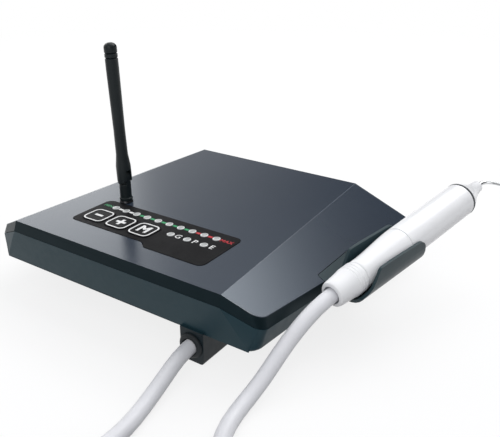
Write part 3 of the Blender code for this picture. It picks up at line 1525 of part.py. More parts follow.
def screws_and_feet():
    corner_names = ("left_front", "left_back", "right_front", "right_back")
    for name, (x, y) in zip(corner_names, post_spots):
        seat = PLINTH_HEIGHT + SCREW_SINK
        screw = [
            (0, roof - 6 * MM),
            (SCREW_RADIUS, roof - 7 * MM),
            (SCREW_RADIUS, seat),
            (SCREW_HEAD_RADIUS, seat),
            (SCREW_HEAD_RADIUS, seat - 1.0 * MM),
            (SCREW_HEAD_RADIUS - 0.7 * MM, seat - 1.8 * MM),
            (0, seat - 1.8 * MM),
        ]
        turned("case_screw_" + name, screw, STEEL, at=Matrix.Translation((x, y, 0)), steps=12)
    for name, (x, y) in zip(corner_names, foot_spots):
        top = PLINTH_HEIGHT - GAP
        bulb = PLINTH_HEIGHT + WALL + 1.6 * MM
        foot = [
            (0, bulb),
            (FOOT_STEM_RADIUS, bulb - 0.8 * MM),
            (FOOT_STEM_RADIUS, top),
            (FOOT_RADIUS, top),
            (FOOT_RADIUS, 0.8 * MM),
            (FOOT_RADIUS - 0.8 * MM, 0),
            (0, 0),
        ]
        turned("foot_" + name, foot, RUBBER, at=Matrix.Translation((x, y, 0)), steps=20)


# ---------------------------------------------------------------- the whole unit

lower_shell()
upper_shell()
keypad_overlay()
keys()
light_guide("level_light_guide", light_spots)
light_guide("mode_light_guide", mode_spots)
handpiece_cradle()
handpiece()
hose_gland()
hose_run("hose_unit_run", unit_route, 14)
hose_run("hose_hand_run", hand_route, 22)
hose_coil()
aerial()
power_switch()
power_socket()
water_inlet()
water_regulator()
control_board()
drive_electronics()
receiver_board()
water_valve()
screws_and_feet()


def box_middle():
    """The middle, seen from above, of everything but the hose."""
    bpy.context.view_layer.update()
    graph = bpy.context.evaluated_depsgraph_get()
    spots = []
    for piece in pieces.objects:
        if piece.type == "EMPTY" or piece.name in ("hose_unit_run", "hose_hand_run", "hose_coil"):
            continue
        shown = piece.evaluated_get(graph)
        mesh = shown.to_mesh()
        spots += [shown.matrix_world @ vertex.co for vertex in mesh.vertices]
        shown.to_mesh_clear()
    xs = [spot.x for spot in spots]
    ys = [spot.y for spot in spots]
    return Vector(((min(xs) + max(xs)) / 2, (min(ys) + max(ys)) / 2, 0))


origin.location = -box_middle()
bpy.context.view_layer.update()
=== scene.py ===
from math import cos, pi, radians, sin, sqrt

import bmesh
import bpy
from mathutils import Matrix, Vector


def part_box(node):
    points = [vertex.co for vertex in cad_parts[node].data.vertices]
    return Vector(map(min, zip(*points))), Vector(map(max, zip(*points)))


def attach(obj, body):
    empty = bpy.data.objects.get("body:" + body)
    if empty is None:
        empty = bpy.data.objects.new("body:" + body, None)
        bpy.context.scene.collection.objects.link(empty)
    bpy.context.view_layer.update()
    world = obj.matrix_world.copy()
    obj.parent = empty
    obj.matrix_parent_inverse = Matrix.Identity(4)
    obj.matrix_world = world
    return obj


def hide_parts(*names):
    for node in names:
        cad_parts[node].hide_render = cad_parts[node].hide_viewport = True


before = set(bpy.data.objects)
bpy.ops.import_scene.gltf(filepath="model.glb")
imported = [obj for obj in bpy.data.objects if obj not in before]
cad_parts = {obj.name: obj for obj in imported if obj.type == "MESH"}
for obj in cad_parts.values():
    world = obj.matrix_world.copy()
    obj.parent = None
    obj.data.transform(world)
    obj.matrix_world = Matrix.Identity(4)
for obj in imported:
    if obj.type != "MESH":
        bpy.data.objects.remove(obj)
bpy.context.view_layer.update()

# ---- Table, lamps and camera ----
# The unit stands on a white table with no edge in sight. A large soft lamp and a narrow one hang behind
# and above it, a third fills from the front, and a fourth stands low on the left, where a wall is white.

FRONT_TO_MIDDLE = 0.08029
shell_low, shell_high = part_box("upper_shell")
unit_middle = Vector(((shell_low.x + shell_high.x) / 2, shell_low.y + FRONT_TO_MIDDLE, 0.0))


def on_unit(x, y, z):
    """A place given from the middle of the unit's footprint."""
    return unit_middle + Vector((x, y, z))


def combined(nodes, links, operation, first, second, clamp=False):
    """One number worked out from two."""
    result = nodes.new("ShaderNodeMath")
    result.operation = operation
    result.use_clamp = clamp
    links.new(first, result.inputs[0])
    links.new(second, result.inputs[1])
    return result.outputs[0]


def ramp(nodes, links, value, start, end, low, high):
    """A number that goes from low to high while the value goes from start to end."""
    slope = nodes.new("ShaderNodeMapRange")
    slope.inputs["From Min"].default_value = start
    slope.inputs["From Max"].default_value = end
    slope.inputs["To Min"].default_value = low
    slope.inputs["To Max"].default_value = high
    links.new(value, slope.inputs["Value"])
    return slope.outputs["Result"]


def looked_at(nodes, links, ray):
    """1 where the camera sees a thing, in a reflection or through glass as well, and 0 for its light."""
    seen = combined(nodes, links, "MAXIMUM", ray.outputs["Is Camera Ray"], ray.outputs["Is Glossy Ray"])
    return combined(nodes, links, "MAXIMUM", seen, ray.outputs["Is Transmission Ray"])


def studio_room():
    """Even daylight on the object. Gloss, metal and glass show a white wall on the left that leans in
    with height and falls off to a dim one on the right, under a pale ceiling. Behind everything the
    camera sees plain white."""
    room = bpy.data.worlds.new("studio_room")
    bpy.context.scene.world = room
    room.use_nodes = True
    nodes, links = room.node_tree.nodes, room.node_tree.links
    nodes.clear()
    daylight = nodes.new("ShaderNodeBackground")
    daylight.inputs["Color"].default_value = (0.95, 0.97, 1.0, 1.0)
    daylight.inputs["Strength"].default_value = 0.60
    direction = nodes.new("ShaderNodeTexCoord")
    sides = nodes.new("ShaderNodeSeparateXYZ")
    links.new(direction.outputs["Generated"], sides.inputs[0])
    across, up = sides.outputs["X"], sides.outputs["Z"]
    lean = ramp(nodes, links, up, start=0.46, end=0.60, low=0.0, high=0.38)
    upright = combined(nodes, links, "SUBTRACT", across, lean)
    wall = ramp(nodes, links, upright, start=-0.70, end=-0.40, low=0.93, high=0.06)
    ceiling = ramp(nodes, links, up, start=0.44, end=0.60, low=0.0, high=0.5)
    both = combined(nodes, links, "ADD", wall, ceiling, clamp=True)
    ray = nodes.new("ShaderNodeLightPath")
    walls = nodes.new("ShaderNodeBackground")
    walls.inputs["Color"].default_value = (1.0, 1.0, 1.0, 1.0)
    level = combined(nodes, links, "MAXIMUM", both, ray.outputs["Is Camera Ray"])
    links.new(level, walls.inputs["Strength"])
    either = nodes.new("ShaderNodeMixShader")
    links.new(looked_at(nodes, links, ray), either.inputs["Fac"])
    links.new(daylight.outputs[0], either.inputs[1])
    links.new(walls.outputs[0], either.inputs[2])
    surround = nodes.new("ShaderNodeOutputWorld")
    links.new(either.outputs[0], surround.inputs["Surface"])


def table_top():
    """White paint that takes the unit's soft shadow near it and fades to plain white further out."""
    half = 30.0
    corners = [(-half, -half, 0.0), (half, -half, 0.0), (half, half, 0.0), (-half, half, 0.0)]
    mesh = bpy.data.meshes.new("table")
    mesh.from_pydata(corners, [], [(0, 1, 2, 3)])
    table = bpy.data.objects.new("table", mesh)
    bpy.context.scene.collection.objects.link(table)
    paint = bpy.data.materials.new("table_white")
    paint.use_nodes = True
    nodes, links = paint.node_tree.nodes, paint.node_tree.links
    nodes.clear()
    board = nodes.new("ShaderNodeBsdfDiffuse")
    board.inputs["Color"].default_value = (0.90, 0.90, 0.91, 1.0)
    shine = nodes.new("ShaderNodeEmission")
    shine.inputs["Color"].default_value = (1.0, 1.0, 1.0, 1.0)
    ray = nodes.new("ShaderNodeLightPath")
    links.new(looked_at(nodes, links, ray), shine.inputs["Strength"])
    spot = nodes.new("ShaderNodeTexCoord")
    reach = nodes.new("ShaderNodeVectorMath")
    reach.operation = "LENGTH"
    links.new(spot.outputs["Object"], reach.inputs[0])
    fade = ramp(nodes, links, reach.outputs["Value"], start=0.25, end=1.0, low=0.80, high=1.0)
    either = nodes.new("ShaderNodeMixShader")
    links.new(fade, either.inputs["Fac"])
    links.new(board.outputs[0], either.inputs[1])
    links.new(shine.outputs[0], either.inputs[2])
    end = nodes.new("ShaderNodeOutputMaterial")
    links.new(either.outputs[0], end.inputs["Surface"])
    table.data.materials.append(paint)


def lamp(name, spot, aim, width, height, watts):
    """A soft rectangular lamp that hangs at a spot and is turned to its aim."""
    light = bpy.data.lights.new(name, "AREA")
    light.shape = "RECTANGLE"
    light.size, light.size_y = width, height
    light.energy = watts
    holder = bpy.data.objects.new(name, light)
    bpy.context.scene.collection.objects.link(holder)
    holder.location = spot
    holder.rotation_euler = (Vector(aim) - Vector(spot)).to_track_quat("-Z", "Y").to_euler()
    holder.visible_camera = False


studio_room()
table_top()
lamp("lamp_overhead", on_unit(0.10, 0.80, 1.40), on_unit(0, 0, 0), 1.5, 1.2, 11.5)
lamp("lamp_strip", on_unit(0.23, 0.95, 1.14), on_unit(0.09, -0.04, 0.03), 0.6, 0.28, 2.9)
lamp("lamp_front", on_unit(0.55, -1.40, 0.75), on_unit(0, 0, 0.03), 1.2, 0.9, 8.5)
lamp("lamp_low_left", on_unit(-1.20, 0.60, 0.50), on_unit(-0.05, 0, 0.04), 0.8, 0.8, 3.7)

eye = bpy.data.objects.new("camera", bpy.data.cameras.new("camera"))
bpy.context.scene.collection.objects.link(eye)
eye.data.sensor_width = 36.0
eye.data.lens = 47.16
eye.data.clip_start = 0.01
eye.location = on_unit(0.2210, -0.2781, 0.1944)
look = on_unit(0.0219, 0.0160, 0.0333) - eye.location
eye.rotation_euler = look.to_track_quat("-Z", "Y").to_euler()
bpy.context.scene.camera = eye
bpy.context.scene.view_settings.view_transform = "Standard"

# ---- Hose ----
# A soft silicone tube with the water line and the two wires in it. It leaves the nose under the front
# edge, lies on the table, and its spare length is wound in a coil before it rises to the handpiece.

HOSE_DIAMETER = 0.0076
hose_half = HOSE_DIAMETER / 2

hand_yaw, hand_pitch = radians(13.0), radians(9.4)
hand_along = Vector((sin(hand_yaw) * cos(hand_pitch), cos(hand_yaw) * cos(hand_pitch), sin(hand_pitch)))
hand_tail = on_unit(0.1038, -0.0368, 0.0342)


def moulded(
    name, dark, light, roughness, mottle, grain, depth,
    gloss=0.5, coat=0.0, sheen=0.0, metal=0.0, wander=0.07, shine=(1.0, 1.0, 1.0),
):
    """A moulded finish: colour that clouds a little, a skin that is duller in places, and a fine grain.

    mottle and grain are how many clouds and grains there are to a metre, depth is the grain's height,
    wander is the share by which the roughness goes up and down, and shine is the colour of its gloss.
    """
    finish = bpy.data.materials.new(name)
    finish.use_nodes = True
    nodes, links = finish.node_tree.nodes, finish.node_tree.links
    skin = nodes["Principled BSDF"]
    skin.inputs["Specular IOR Level"].default_value = gloss
    skin.inputs["Specular Tint"].default_value = (*shine, 1.0)
    skin.inputs["Metallic"].default_value = metal
    skin.inputs["Coat Weight"].default_value = coat
    skin.inputs["Coat Roughness"].default_value = 0.08
    skin.inputs["Sheen Weight"].default_value = sheen
    place = nodes.new("ShaderNodeTexCoord")
    clouds = nodes.new("ShaderNodeTexNoise")
    clouds.inputs["Scale"].default_value = mottle
    clouds.inputs["Detail"].default_value = 4.0
    links.new(place.outputs["Object"], clouds.inputs["Vector"])
    tint = nodes.new("ShaderNodeValToRGB")
    tint.color_ramp.elements[0].position = 0.35
    tint.color_ramp.elements[1].position = 0.68
    tint.color_ramp.elements[0].color = (*dark, 1.0)
    tint.color_ramp.elements[1].color = (*light, 1.0)
    links.new(clouds.outputs["Fac"], tint.inputs["Fac"])
    links.new(tint.outputs["Color"], skin.inputs["Base Color"])
    worn = nodes.new("ShaderNodeTexNoise")
    worn.inputs["Scale"].default_value = mottle * 4
    worn.inputs["Detail"].default_value = 3.0
    links.new(place.outputs["Object"], worn.inputs["Vector"])
    polished, rubbed = roughness * (1 - wander), roughness * (1 + wander)
    dull = ramp(nodes, links, worn.outputs["Fac"], start=0.35, end=0.65, low=polished, high=rubbed)
    links.new(dull, skin.inputs["Roughness"])
    pores = nodes.new("ShaderNodeTexNoise")
    pores.inputs["Scale"].default_value = grain
    pores.inputs["Detail"].default_value = 2.0
    links.new(place.outputs["Object"], pores.inputs["Vector"])
    bump = nodes.new("ShaderNodeBump")
    bump.inputs["Strength"].default_value = 0.6
    bump.inputs["Distance"].default_value = depth
    links.new(pores.outputs["Fac"], bump.inputs["Height"])
    links.new(bump.outputs["Normal"], skin.inputs["Normal"])
    return finish


def placed(piece_data, name, finish, at=None):
    """Makes a piece in its finish and puts it in its place."""
    piece = bpy.data.objects.new(name, piece_data)
    piece.data.materials.append(finish)
    bpy.context.scene.collection.objects.link(piece)
    if at is not None:
        piece.matrix_world = at
    return piece


def show(piece_data, name, finish, body, at=None):
    """Puts a finished piece on its body of the model."""
    piece = placed(piece_data, name, finish, at)
    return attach(piece, body)


def round_rod(name, spots, half):
    """A round solid that follows the given places, closed at both ends."""
    curve = bpy.data.curves.new(name, "CURVE")
    curve.dimensions = "3D"
    curve.bevel_depth = half
    curve.bevel_resolution = 6
    curve.use_fill_caps = True
    thread = curve.splines.new("POLY")
    thread.points.add(len(spots) - 1)
    for point, spot in zip(thread.points, spots):
        point.co = (*spot, 1.0)
    thread.use_smooth = True
    return curve


def even_steps(points, count):
    """Evenly spaced points on a smooth curve through the given ones."""
    padded = [points[0] * 2 - points[1], *points, points[-1] * 2 - points[-2]]
    fine = []
    for index in range(1, len(padded) - 2):
        p0, p1, p2, p3 = padded[index - 1 : index + 3]
        for step in range(12):
            t = step / 12
            bent = (2 * p0 - 5 * p1 + 4 * p2 - p3) * t * t + (3 * p1 - p0 - 3 * p2 + p3) * t**3
            fine.append((2 * p1 + (p2 - p0) * t + bent) / 2)
    fine.append(points[-1])
    lengths = [0.0]
    for first, second in zip(fine, fine[1:]):
        lengths.append(lengths[-1] + (second - first).length)
    spots = []
    index = 0
    for step in range(count):
        goal = lengths[-1] * step / (count - 1)
        while index < len(fine) - 2 and lengths[index + 1] < goal:
            index += 1
        share = (goal - lengths[index]) / (lengths[index + 1] - lengths[index])
        spots.append(fine[index].lerp(fine[index + 1], share))
    return spots


COIL_MIDDLE = (0.104, -0.190)
COIL_ENTRY = 170.0
COIL_LANES = (0.0496, 0.0420, 0.0344)
COIL_FLOOR, COIL_UPPER = hose_half, 3 * hose_half
# Where the winding changes lane or layer, in degrees turned since it met the coil
LANE_CHANGES = ((180, 360, 0, 1), (540, 720, 1, 2), (970, 1160, 2, 1), (1330, 1520, 1, 0))
CLIMB = (730, 822)
TURNED = 1682


def eased(value, start, end):
    """0 up to the start, 1 from the end on, and a smooth rise between them."""
    share = min(max((value - start) / (end - start), 0.0), 1.0)
    return (1 - cos(pi * share)) / 2


def coil_spot(turned):
    """The hose's middle after it has been wound through an angle: out to in below, in to out on top."""
    radius = COIL_LANES[0]
    for start, end, before, after in LANE_CHANGES:
        radius += (COIL_LANES[after] - COIL_LANES[before]) * eased(turned, start, end)
    height = COIL_FLOOR + (COIL_UPPER - COIL_FLOOR) * eased(turned, *CLIMB)
    angle = radians(COIL_ENTRY + turned)
    return on_unit(COIL_MIDDLE[0] + radius * cos(angle), COIL_MIDDLE[1] + radius * sin(angle), height)


def off_the_coil(turned, distance, height):
    """A place on the straight line by which the hose meets or leaves the outer lane."""
    angle = radians(COIL_ENTRY + turned)
    x = COIL_MIDDLE[0] + COIL_LANES[0] * cos(angle) - distance * sin(angle)
    y = COIL_MIDDLE[1] + COIL_LANES[0] * sin(angle) + distance * cos(angle)
    return on_unit(x, y, height)


hose_start = on_unit(0.0522, -0.0768, 0.0102)
from_the_unit = [
    hose_start,
    hose_start + Vector((0, -0.009, -0.0003)),
    on_unit(0.0533, -0.0930, 0.0088), on_unit(0.0548, -0.1040, 0.0056), on_unit(0.0566, -0.1145, 0.0040),
    on_unit(0.0590, -0.1240, 0.0038), on_unit(0.0606, -0.1330, 0.0038), on_unit(0.0611, -0.1420, 0.0038),
    off_the_coil(0, -0.0283, COIL_FLOOR),
    off_the_coil(0, -0.0140, COIL_FLOOR),
    coil_spot(0),
]
to_the_hand = [
    coil_spot(TURNED),
    off_the_coil(TURNED, 0.0140, 0.0110),
    off_the_coil(TURNED, 0.0283, 0.0084),
    off_the_coil(TURNED, 0.0373, 0.0063),
    on_unit(0.0994, -0.1206, 0.0046), on_unit(0.0956, -0.1130, 0.0039), on_unit(0.0934, -0.1040, 0.0038),
    on_unit(0.0923, -0.0945, 0.0040), on_unit(0.0930, -0.0865, 0.0060), on_unit(0.0944, -0.0796, 0.0102),
    on_unit(0.0960, -0.0725, 0.0168), on_unit(0.0980, -0.0642, 0.0238), on_unit(0.1003, -0.0550, 0.0290),
    hand_tail - hand_along * 0.009,
    hand_tail + hand_along * 0.0027,
]


# A run is relaxed in steps this many times finer than it is kept, and this often
FINER, ROUNDS = 4, 40


def relaxed(points, count):
    """The hose's stiffness takes the corners out of a run: each point moves to between its neighbours."""
    run = even_steps(points, FINER * (count - 1) + 1)
    for _ in range(ROUNDS):
        run[1:-1] = [
            (before + 2 * here + after) / 4 for before, here, after in zip(run, run[1:], run[2:])
        ]
    return run[::FINER]


WOUND_STEPS = 168
wound = [coil_spot(TURNED * step / WOUND_STEPS) for step in range(1, WOUND_STEPS)]
hose_line = relaxed(from_the_unit, 18) + wound + relaxed(to_the_hand, 22)

silicone = moulded(
    "hose_silicone", (0.70, 0.70, 0.73), (0.74, 0.74, 0.77), 0.40, 55, 2600, 0.000006, gloss=0.45,
    sheen=0.15,
)
hose = show(round_rod("hose", hose_line, hose_half), "hose", silicone, "unit")
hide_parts("hose_unit_run", "hose_hand_run", "hose_coil")

# ---- Lower shell, with the plinth and the hose nose ----
# Injection-moulded ABS in a dark blue-green, with a satin spark-eroded skin. The plinth and the nose that
# the hose comes out of are moulded on, and four screws from below hold the top on it.


def dress(node, finish, sharp=30.0):
    """Gives a solid of the model its finish, and rounds its shading between its sharp edges."""
    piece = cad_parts[node]
    for spot in piece.material_slots:
        spot.material = finish
    piece.data.polygons.foreach_set("use_smooth", [True] * len(piece.data.polygons))
    for shading in ("custom_normal", "sharp_edge"):
        if shading in piece.data.attributes:
            piece.data.attributes.remove(piece.data.attributes[shading])
    weld = piece.modifiers.new("weld", "WELD")
    weld.merge_threshold = 0.00001
    split = piece.modifiers.new("sharp_edges", "EDGE_SPLIT")
    split.use_edge_sharp = False
    split.split_angle = radians(sharp)
    level = piece.modifiers.new("flat_faces", "WEIGHTED_NORMAL")
    level.weight = 100
    return piece


satin_teal = moulded(
    "lower_shell_satin", (0.0115, 0.032, 0.042), (0.0145, 0.036, 0.047), 0.42, 70, 3200, 0.000008,
    gloss=0.22, shine=(0.78, 0.95, 1.0),
)
# The same satin, nearly black: painted shade for the plinth and the nose.
nose_painted_shade = moulded(
    "plinth_painted_shade", (0.005, 0.011, 0.015), (0.007, 0.014, 0.018), 0.46, 70, 3200, 0.000008, gloss=0.25
)
tray = dress("lower_shell", satin_teal)
tray.data.materials.append(nose_painted_shade)
# Every face whose middle is lower than this belongs to the plinth or the nose. These get a nearly
# black copy of the satin: painted shade, since they are the same plastic as the shell.
UNDERSIDE = 0.0176
for face in tray.data.polygons:
    if face.center.z < UNDERSIDE:
        face.material_index = 1

# ---- Upper shell ----
# The lid of the casing: one glossy slate-grey moulding with a flat top, two sloping sides and a thin
# rim all round. Its steep rim faces get a darker, satin copy of the finish, nearly black, as painted shade,
# and its small bevels a lighter copy as a painted highlight.

polished_slate = moulded(
    "upper_shell_polish", (0.0150, 0.0245, 0.0415), (0.0165, 0.0260, 0.0435), 0.25, 24, 1600, 0.00000015,
    wander=0.01, shine=(0.80, 0.90, 1.0),
)
# A darker, duller copy of the lid's finish for its steep rim faces: painted shade.
rim_painted_shade = moulded(
    "upper_shell_rim_painted_shade", (0.004, 0.009, 0.011), (0.006, 0.011, 0.014), 0.34, 70, 2600, 0.000004,
    gloss=0.16, shine=(0.55, 0.86, 1.0),
)
# A lighter copy of the lid's finish for its small bevels: a painted highlight.
painted_highlight_edge = moulded(
    "upper_shell_painted_highlight", (0.060, 0.074, 0.096), (0.080, 0.096, 0.122), 0.22, 90, 1600, 0.0000008
)
lid = dress("upper_shell", polished_slate, sharp=24.0)
lid.data.materials.append(rim_painted_shade)
lid.data.materials.append(painted_highlight_edge)
# A face is told apart by how much it looks up: the top does fully, a sloping side by this much
FACET_RISE = cos(radians(26))
STEEP_RISE = 0.5
LOWEST_BEVEL = 0.02
for face in lid.data.polygons:
    rise = face.normal.z
    wide_face = abs(rise - 1.0) <= 0.002 or abs(rise - FACET_RISE) <= 0.003
    # Steep faces take the painted shade.
    if rise < STEEP_RISE:
        face.material_index = 1
    # The bevels between the wide faces take the painted highlight.
    elif not wide_face and face.center.z > LOWEST_BEVEL:
        face.material_index = 2

# ---- Keypad overlay and its legends ----
# A black polyester film, 0.5 mm thick, let into the top and glued down. Its marks are screen-printed:
# the level's scale from MIN to MAX in white, green and red, and G, P and E beside the mode lights.

film = moulded(
    "overlay_film", (0.008, 0.008, 0.009), (0.012, 0.012, 0.013), 0.50, 120, 2400, 0.000003, gloss=0.04
)
dress("keypad_overlay", film)
film_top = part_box("keypad_overlay")[1].z
PRINT_RISE = 0.00003
INK_THICKNESS = 0.00002
CAPITAL_SHARE = 0.70


def ink(name, colour):
    """Screen ink: an even, slightly chalky coat that is a little thinner in places."""
    thin = tuple(channel * 0.86 for channel in colour)
    return moulded(name, thin, colour, 0.5, 900, 6000, 0.000004, gloss=0.3)


white_ink = ink("ink_white", (0.80, 0.80, 0.80))
green_ink = ink("ink_green", (0.015, 0.30, 0.11))
red_ink = ink("ink_red", (0.50, 0.02, 0.03))


def printed_word(name, word, x, y, height, colour, body="unit", level=film_top, bold=0.0):
    """A word in plain type, lying on the film with its middle at that place. The height is a capital's."""
    letters = bpy.data.curves.new(name, "FONT")
    letters.body = word
    letters.size = height / CAPITAL_SHARE
    letters.align_x = "CENTER"
    letters.align_y = "CENTER"
    letters.offset = bold
    letters.extrude = INK_THICKNESS
    at = Matrix.Translation(on_unit(x, y, level + PRINT_RISE))
    return show(letters, name, colour, body, at)


def flat_print(name, outlines, colour, at, body, thickness=INK_THICKNESS):
    """Flat shapes. Each outline is a closed loop of places; a second loop in it leaves a hole."""
    shape = bpy.data.curves.new(name, "CURVE")
    shape.dimensions = "2D"
    shape.fill_mode = "BOTH"
    shape.extrude = thickness
    for outline in outlines:
        loop = shape.splines.new("POLY")
        loop.points.add(len(outline) - 1)
        for point, (x, y) in zip(loop.points, outline):
            point.co = (x, y, 0.0, 1.0)
        loop.use_cyclic_u = True
    return show(shape, name, colour, body, at)


def printed_shape(name, outlines, colour, level, body="unit"):
    """Flat shapes on the top, given from the middle of the unit's footprint."""
    on_top = [[on_unit(x, y, 0).xy for x, y in outline] for outline in outlines]
    return flat_print(name, on_top, colour, Matrix.Translation((0, 0, level + PRINT_RISE)), body)


def bar(x0, y0, x1, y1):
    """The outline of a straight stroke between two of its corners."""
    return [(x0, y0), (x1, y0), (x1, y1), (x0, y1)]


def disc(x, y, radius, steps=28):
    """The outline of a round."""
    return [
        (x + radius * cos(2 * pi * step / steps), y + radius * sin(2 * pi * step / steps))
        for step in range(steps)
    ]


LIGHT_PITCH, FIRST_LIGHT_X, LIGHT_ROW_Y = 0.0080, -0.0366, -0.0349
MODE_PITCH, FIRST_MODE_X, MODE_ROW_Y = 0.0110, 0.0122, -0.0441
LIGHT_RADIUS = 0.0022
LINK_GAP, LINK_HALF = 0.00035, 0.00085
LETTER_BESIDE = 0.0050


def scale_links(name, links, colour):
    """The short lines between the level lights, with a hair of black left at each light."""
    loops = []
    for link in links:
        left = FIRST_LIGHT_X + link * LIGHT_PITCH + LIGHT_RADIUS + LINK_GAP
        right = FIRST_LIGHT_X + (link + 1) * LIGHT_PITCH - LIGHT_RADIUS - LINK_GAP
        loops.append(bar(left, LIGHT_ROW_Y - LINK_HALF, right, LIGHT_ROW_Y + LINK_HALF))
    printed_shape(name, loops, colour, film_top)


scale_links("scale_low", (0, 1), white_ink)
scale_links("scale_middle", (2, 3, 4, 5, 6), green_ink)
scale_links("scale_high", (7, 8), red_ink)
printed_word("word_min", "MIN", -0.0425, LIGHT_ROW_Y, 0.0024, green_ink, bold=0.00006)
printed_word("word_max", "MAX", 0.0418, LIGHT_ROW_Y, 0.0026, red_ink, bold=0.00006)
for index, letter in enumerate("GPE"):
    beside = FIRST_MODE_X + index * MODE_PITCH + LETTER_BESIDE
    printed_word("letter_" + letter, letter, beside, MODE_ROW_Y, 0.0038, white_ink, bold=0.00003)

# ---- Light windows ----
# Two clear polycarbonate strips under the top. Their round posts come up through holes in the film, one
# over each diode, and end in a low polished dome that looks pale grey when the diode is off.

lens = moulded("light_lens", (0.34, 0.35, 0.35), (0.42, 0.43, 0.43), 0.16, 400, 4000, 0.000002)
# A paler copy of the lens: a painted highlight for the edge of each post.
lens_painted_highlight = moulded(
    "light_lens_painted_highlight", (0.62, 0.63, 0.63), (0.70, 0.71, 0.71), 0.3, 400, 4000, 0.000002, gloss=0.4
)
dress("level_light_guide", lens)
dress("mode_light_guide", lens)

DOME_RINGS, DOME_STEPS = 5, 28
CAP_RADIUS, CAP_RISE, CAP_SUNK = LIGHT_RADIUS - 0.0001, 0.0004, 0.00002


def dome(x, y, low):
    """A shallow cap for a light: rings of points that follow a part of a ball."""
    ball = (CAP_RADIUS * CAP_RADIUS + CAP_RISE * CAP_RISE) / (2 * CAP_RISE)
    bm = bmesh.new()
    rings = []
    for ring in range(DOME_RINGS):
        reach = CAP_RADIUS * (1 - ring / DOME_RINGS)
        height = low + sqrt(ball * ball - reach * reach) - (ball - CAP_RISE)
        rings.append([bm.verts.new(on_unit(*spot, height)) for spot in disc(x, y, reach, DOME_STEPS)])
    crown = bm.verts.new(on_unit(x, y, low + CAP_RISE))
    for outer, inner in zip(rings, rings[1:]):
        for here in range(DOME_STEPS):
            after = (here + 1) % DOME_STEPS
            band = bm.faces.new((outer[here], outer[after], inner[after], inner[here]))
            # The outer ring takes the paler copy, a painted highlight.
            band.material_index = 1 if outer is rings[0] else 0
    for here in range(DOME_STEPS):
        bm.faces.new((rings[-1][here], rings[-1][(here + 1) % DOME_STEPS], crown))
    for face in bm.faces:
        face.smooth = True
    return bm


def light_caps(name, spots):
    """One row of caps as a single piece, each with a paler copy of the lens on its outer ring: a painted
    highlight at the edge of the post.
    """
    whole = bmesh.new()
    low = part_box("level_light_guide")[1].z
    for x, y in spots:
        cap = dome(x, y, low - CAP_SUNK)
        part = bpy.data.meshes.new("cap")
        cap.to_mesh(part)
        cap.free()
        whole.from_mesh(part)
        bpy.data.meshes.remove(part)
    caps = bpy.data.meshes.new(name)
    whole.to_mesh(caps)
    whole.free()
    show(caps, name, lens, "unit").data.materials.append(lens_painted_highlight)


light_caps("level_light_caps", [(FIRST_LIGHT_X + k * LIGHT_PITCH, LIGHT_ROW_Y) for k in range(10)])
light_caps("mode_light_caps", [(FIRST_MODE_X + k * MODE_PITCH, MODE_ROW_Y) for k in range(3)])

# ---- Keys ----
# Three square push-buttons in the same black as the film, each with a white line printed round its edge
# and a white sign: less, more and mode. They stand 0.5 mm proud and go down as far when pressed.

key_black = moulded(
    "key_black", (0.010, 0.010, 0.011), (0.014, 0.014, 0.015), 0.50, 200, 2400, 0.000003, gloss=0.05
)
KEY_ROW_Y = -0.0482
LINE_HALF, LINE_CORNER, LINE_WIDTH = 0.00685, 0.0034, 0.00085
MINUS_ARM, PLUS_ARM, SIGN_HALF = 0.0028, 0.0032, 0.0009


def soft_square(x, y, half, corner, steps=6):
    """The outline of a square with rounded corners."""
    loop = []
    for side_x, side_y, start in ((1, 1, 0), (-1, 1, 90), (-1, -1, 180), (1, -1, 270)):
        for step in range(steps + 1):
            angle = radians(start + 90 * step / steps)
            loop.append((
                x + side_x * (half - corner) + corner * cos(angle),
                y + side_y * (half - corner) + corner * sin(angle),
            ))
    return loop


def plus_sign(x, y, arm, half):
    """The outline of a plus, from its middle, its arms' reach and half their width."""
    return [
        (x - half, y - arm), (x + half, y - arm), (x + half, y - half), (x + arm, y - half),
        (x + arm, y + half), (x + half, y + half), (x + half, y + arm), (x - half, y + arm),
        (x - half, y + half), (x - arm, y + half), (x - arm, y - half), (x - half, y - half),
    ]


for node, body, x in (
    ("key_minus", "minus_key", -0.0366),
    ("key_plus", "plus_key", -0.0198),
    ("key_mode", "mode_key", -0.0030),
):
    dress(node, key_black)
    key_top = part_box(node)[1].z
    outer_line = soft_square(x, KEY_ROW_Y, LINE_HALF, LINE_CORNER)
    inner_line = soft_square(x, KEY_ROW_Y, LINE_HALF - LINE_WIDTH, LINE_CORNER - LINE_WIDTH)
    printed_shape(node + "_line", [outer_line, inner_line], white_ink, key_top, body)
    if node == "key_minus":
        minus = bar(x - MINUS_ARM, KEY_ROW_Y - SIGN_HALF, x + MINUS_ARM, KEY_ROW_Y + SIGN_HALF)
        printed_shape(node + "_sign", [minus], white_ink, key_top, body)
    elif node == "key_plus":
        plus = plus_sign(x, KEY_ROW_Y, PLUS_ARM, SIGN_HALF)
        printed_shape(node + "_sign", [plus], white_ink, key_top, body)
    else:
        printed_word(node + "_sign", "M", x, KEY_ROW_Y, 0.0066, white_ink, body, key_top, bold=0.00035)

# ---- Aerial ----
# A whip for the wireless foot switch, moulded in black over its wire. Its lower half turns on a socket
# in the top, and the whip folds to the left on a steel pin through its fork.

aerial_black = moulded(
    "aerial_black", (0.006, 0.010, 0.012), (0.009, 0.014, 0.016), 0.38, 90, 3000, 0.000006, gloss=0.25
)
for node in ("aerial_whip", "aerial_knuckle"):
    dress(node, aerial_black, sharp=40.0)

# ---- Handpiece cradle ----
# A trough in the same satin plastic, open at the top so that the handpiece lifts out. Its flange sits
# in a seat in the right facet, with two pegs pressed into the lid.

cradle_satin = moulded(
    "cradle_satin", (0.015, 0.034, 0.042), (0.019, 0.039, 0.047), 0.36, 80, 3000, 0.000006, gloss=0.25
)
dress("handpiece_cradle", cradle_satin, sharp=36.0)

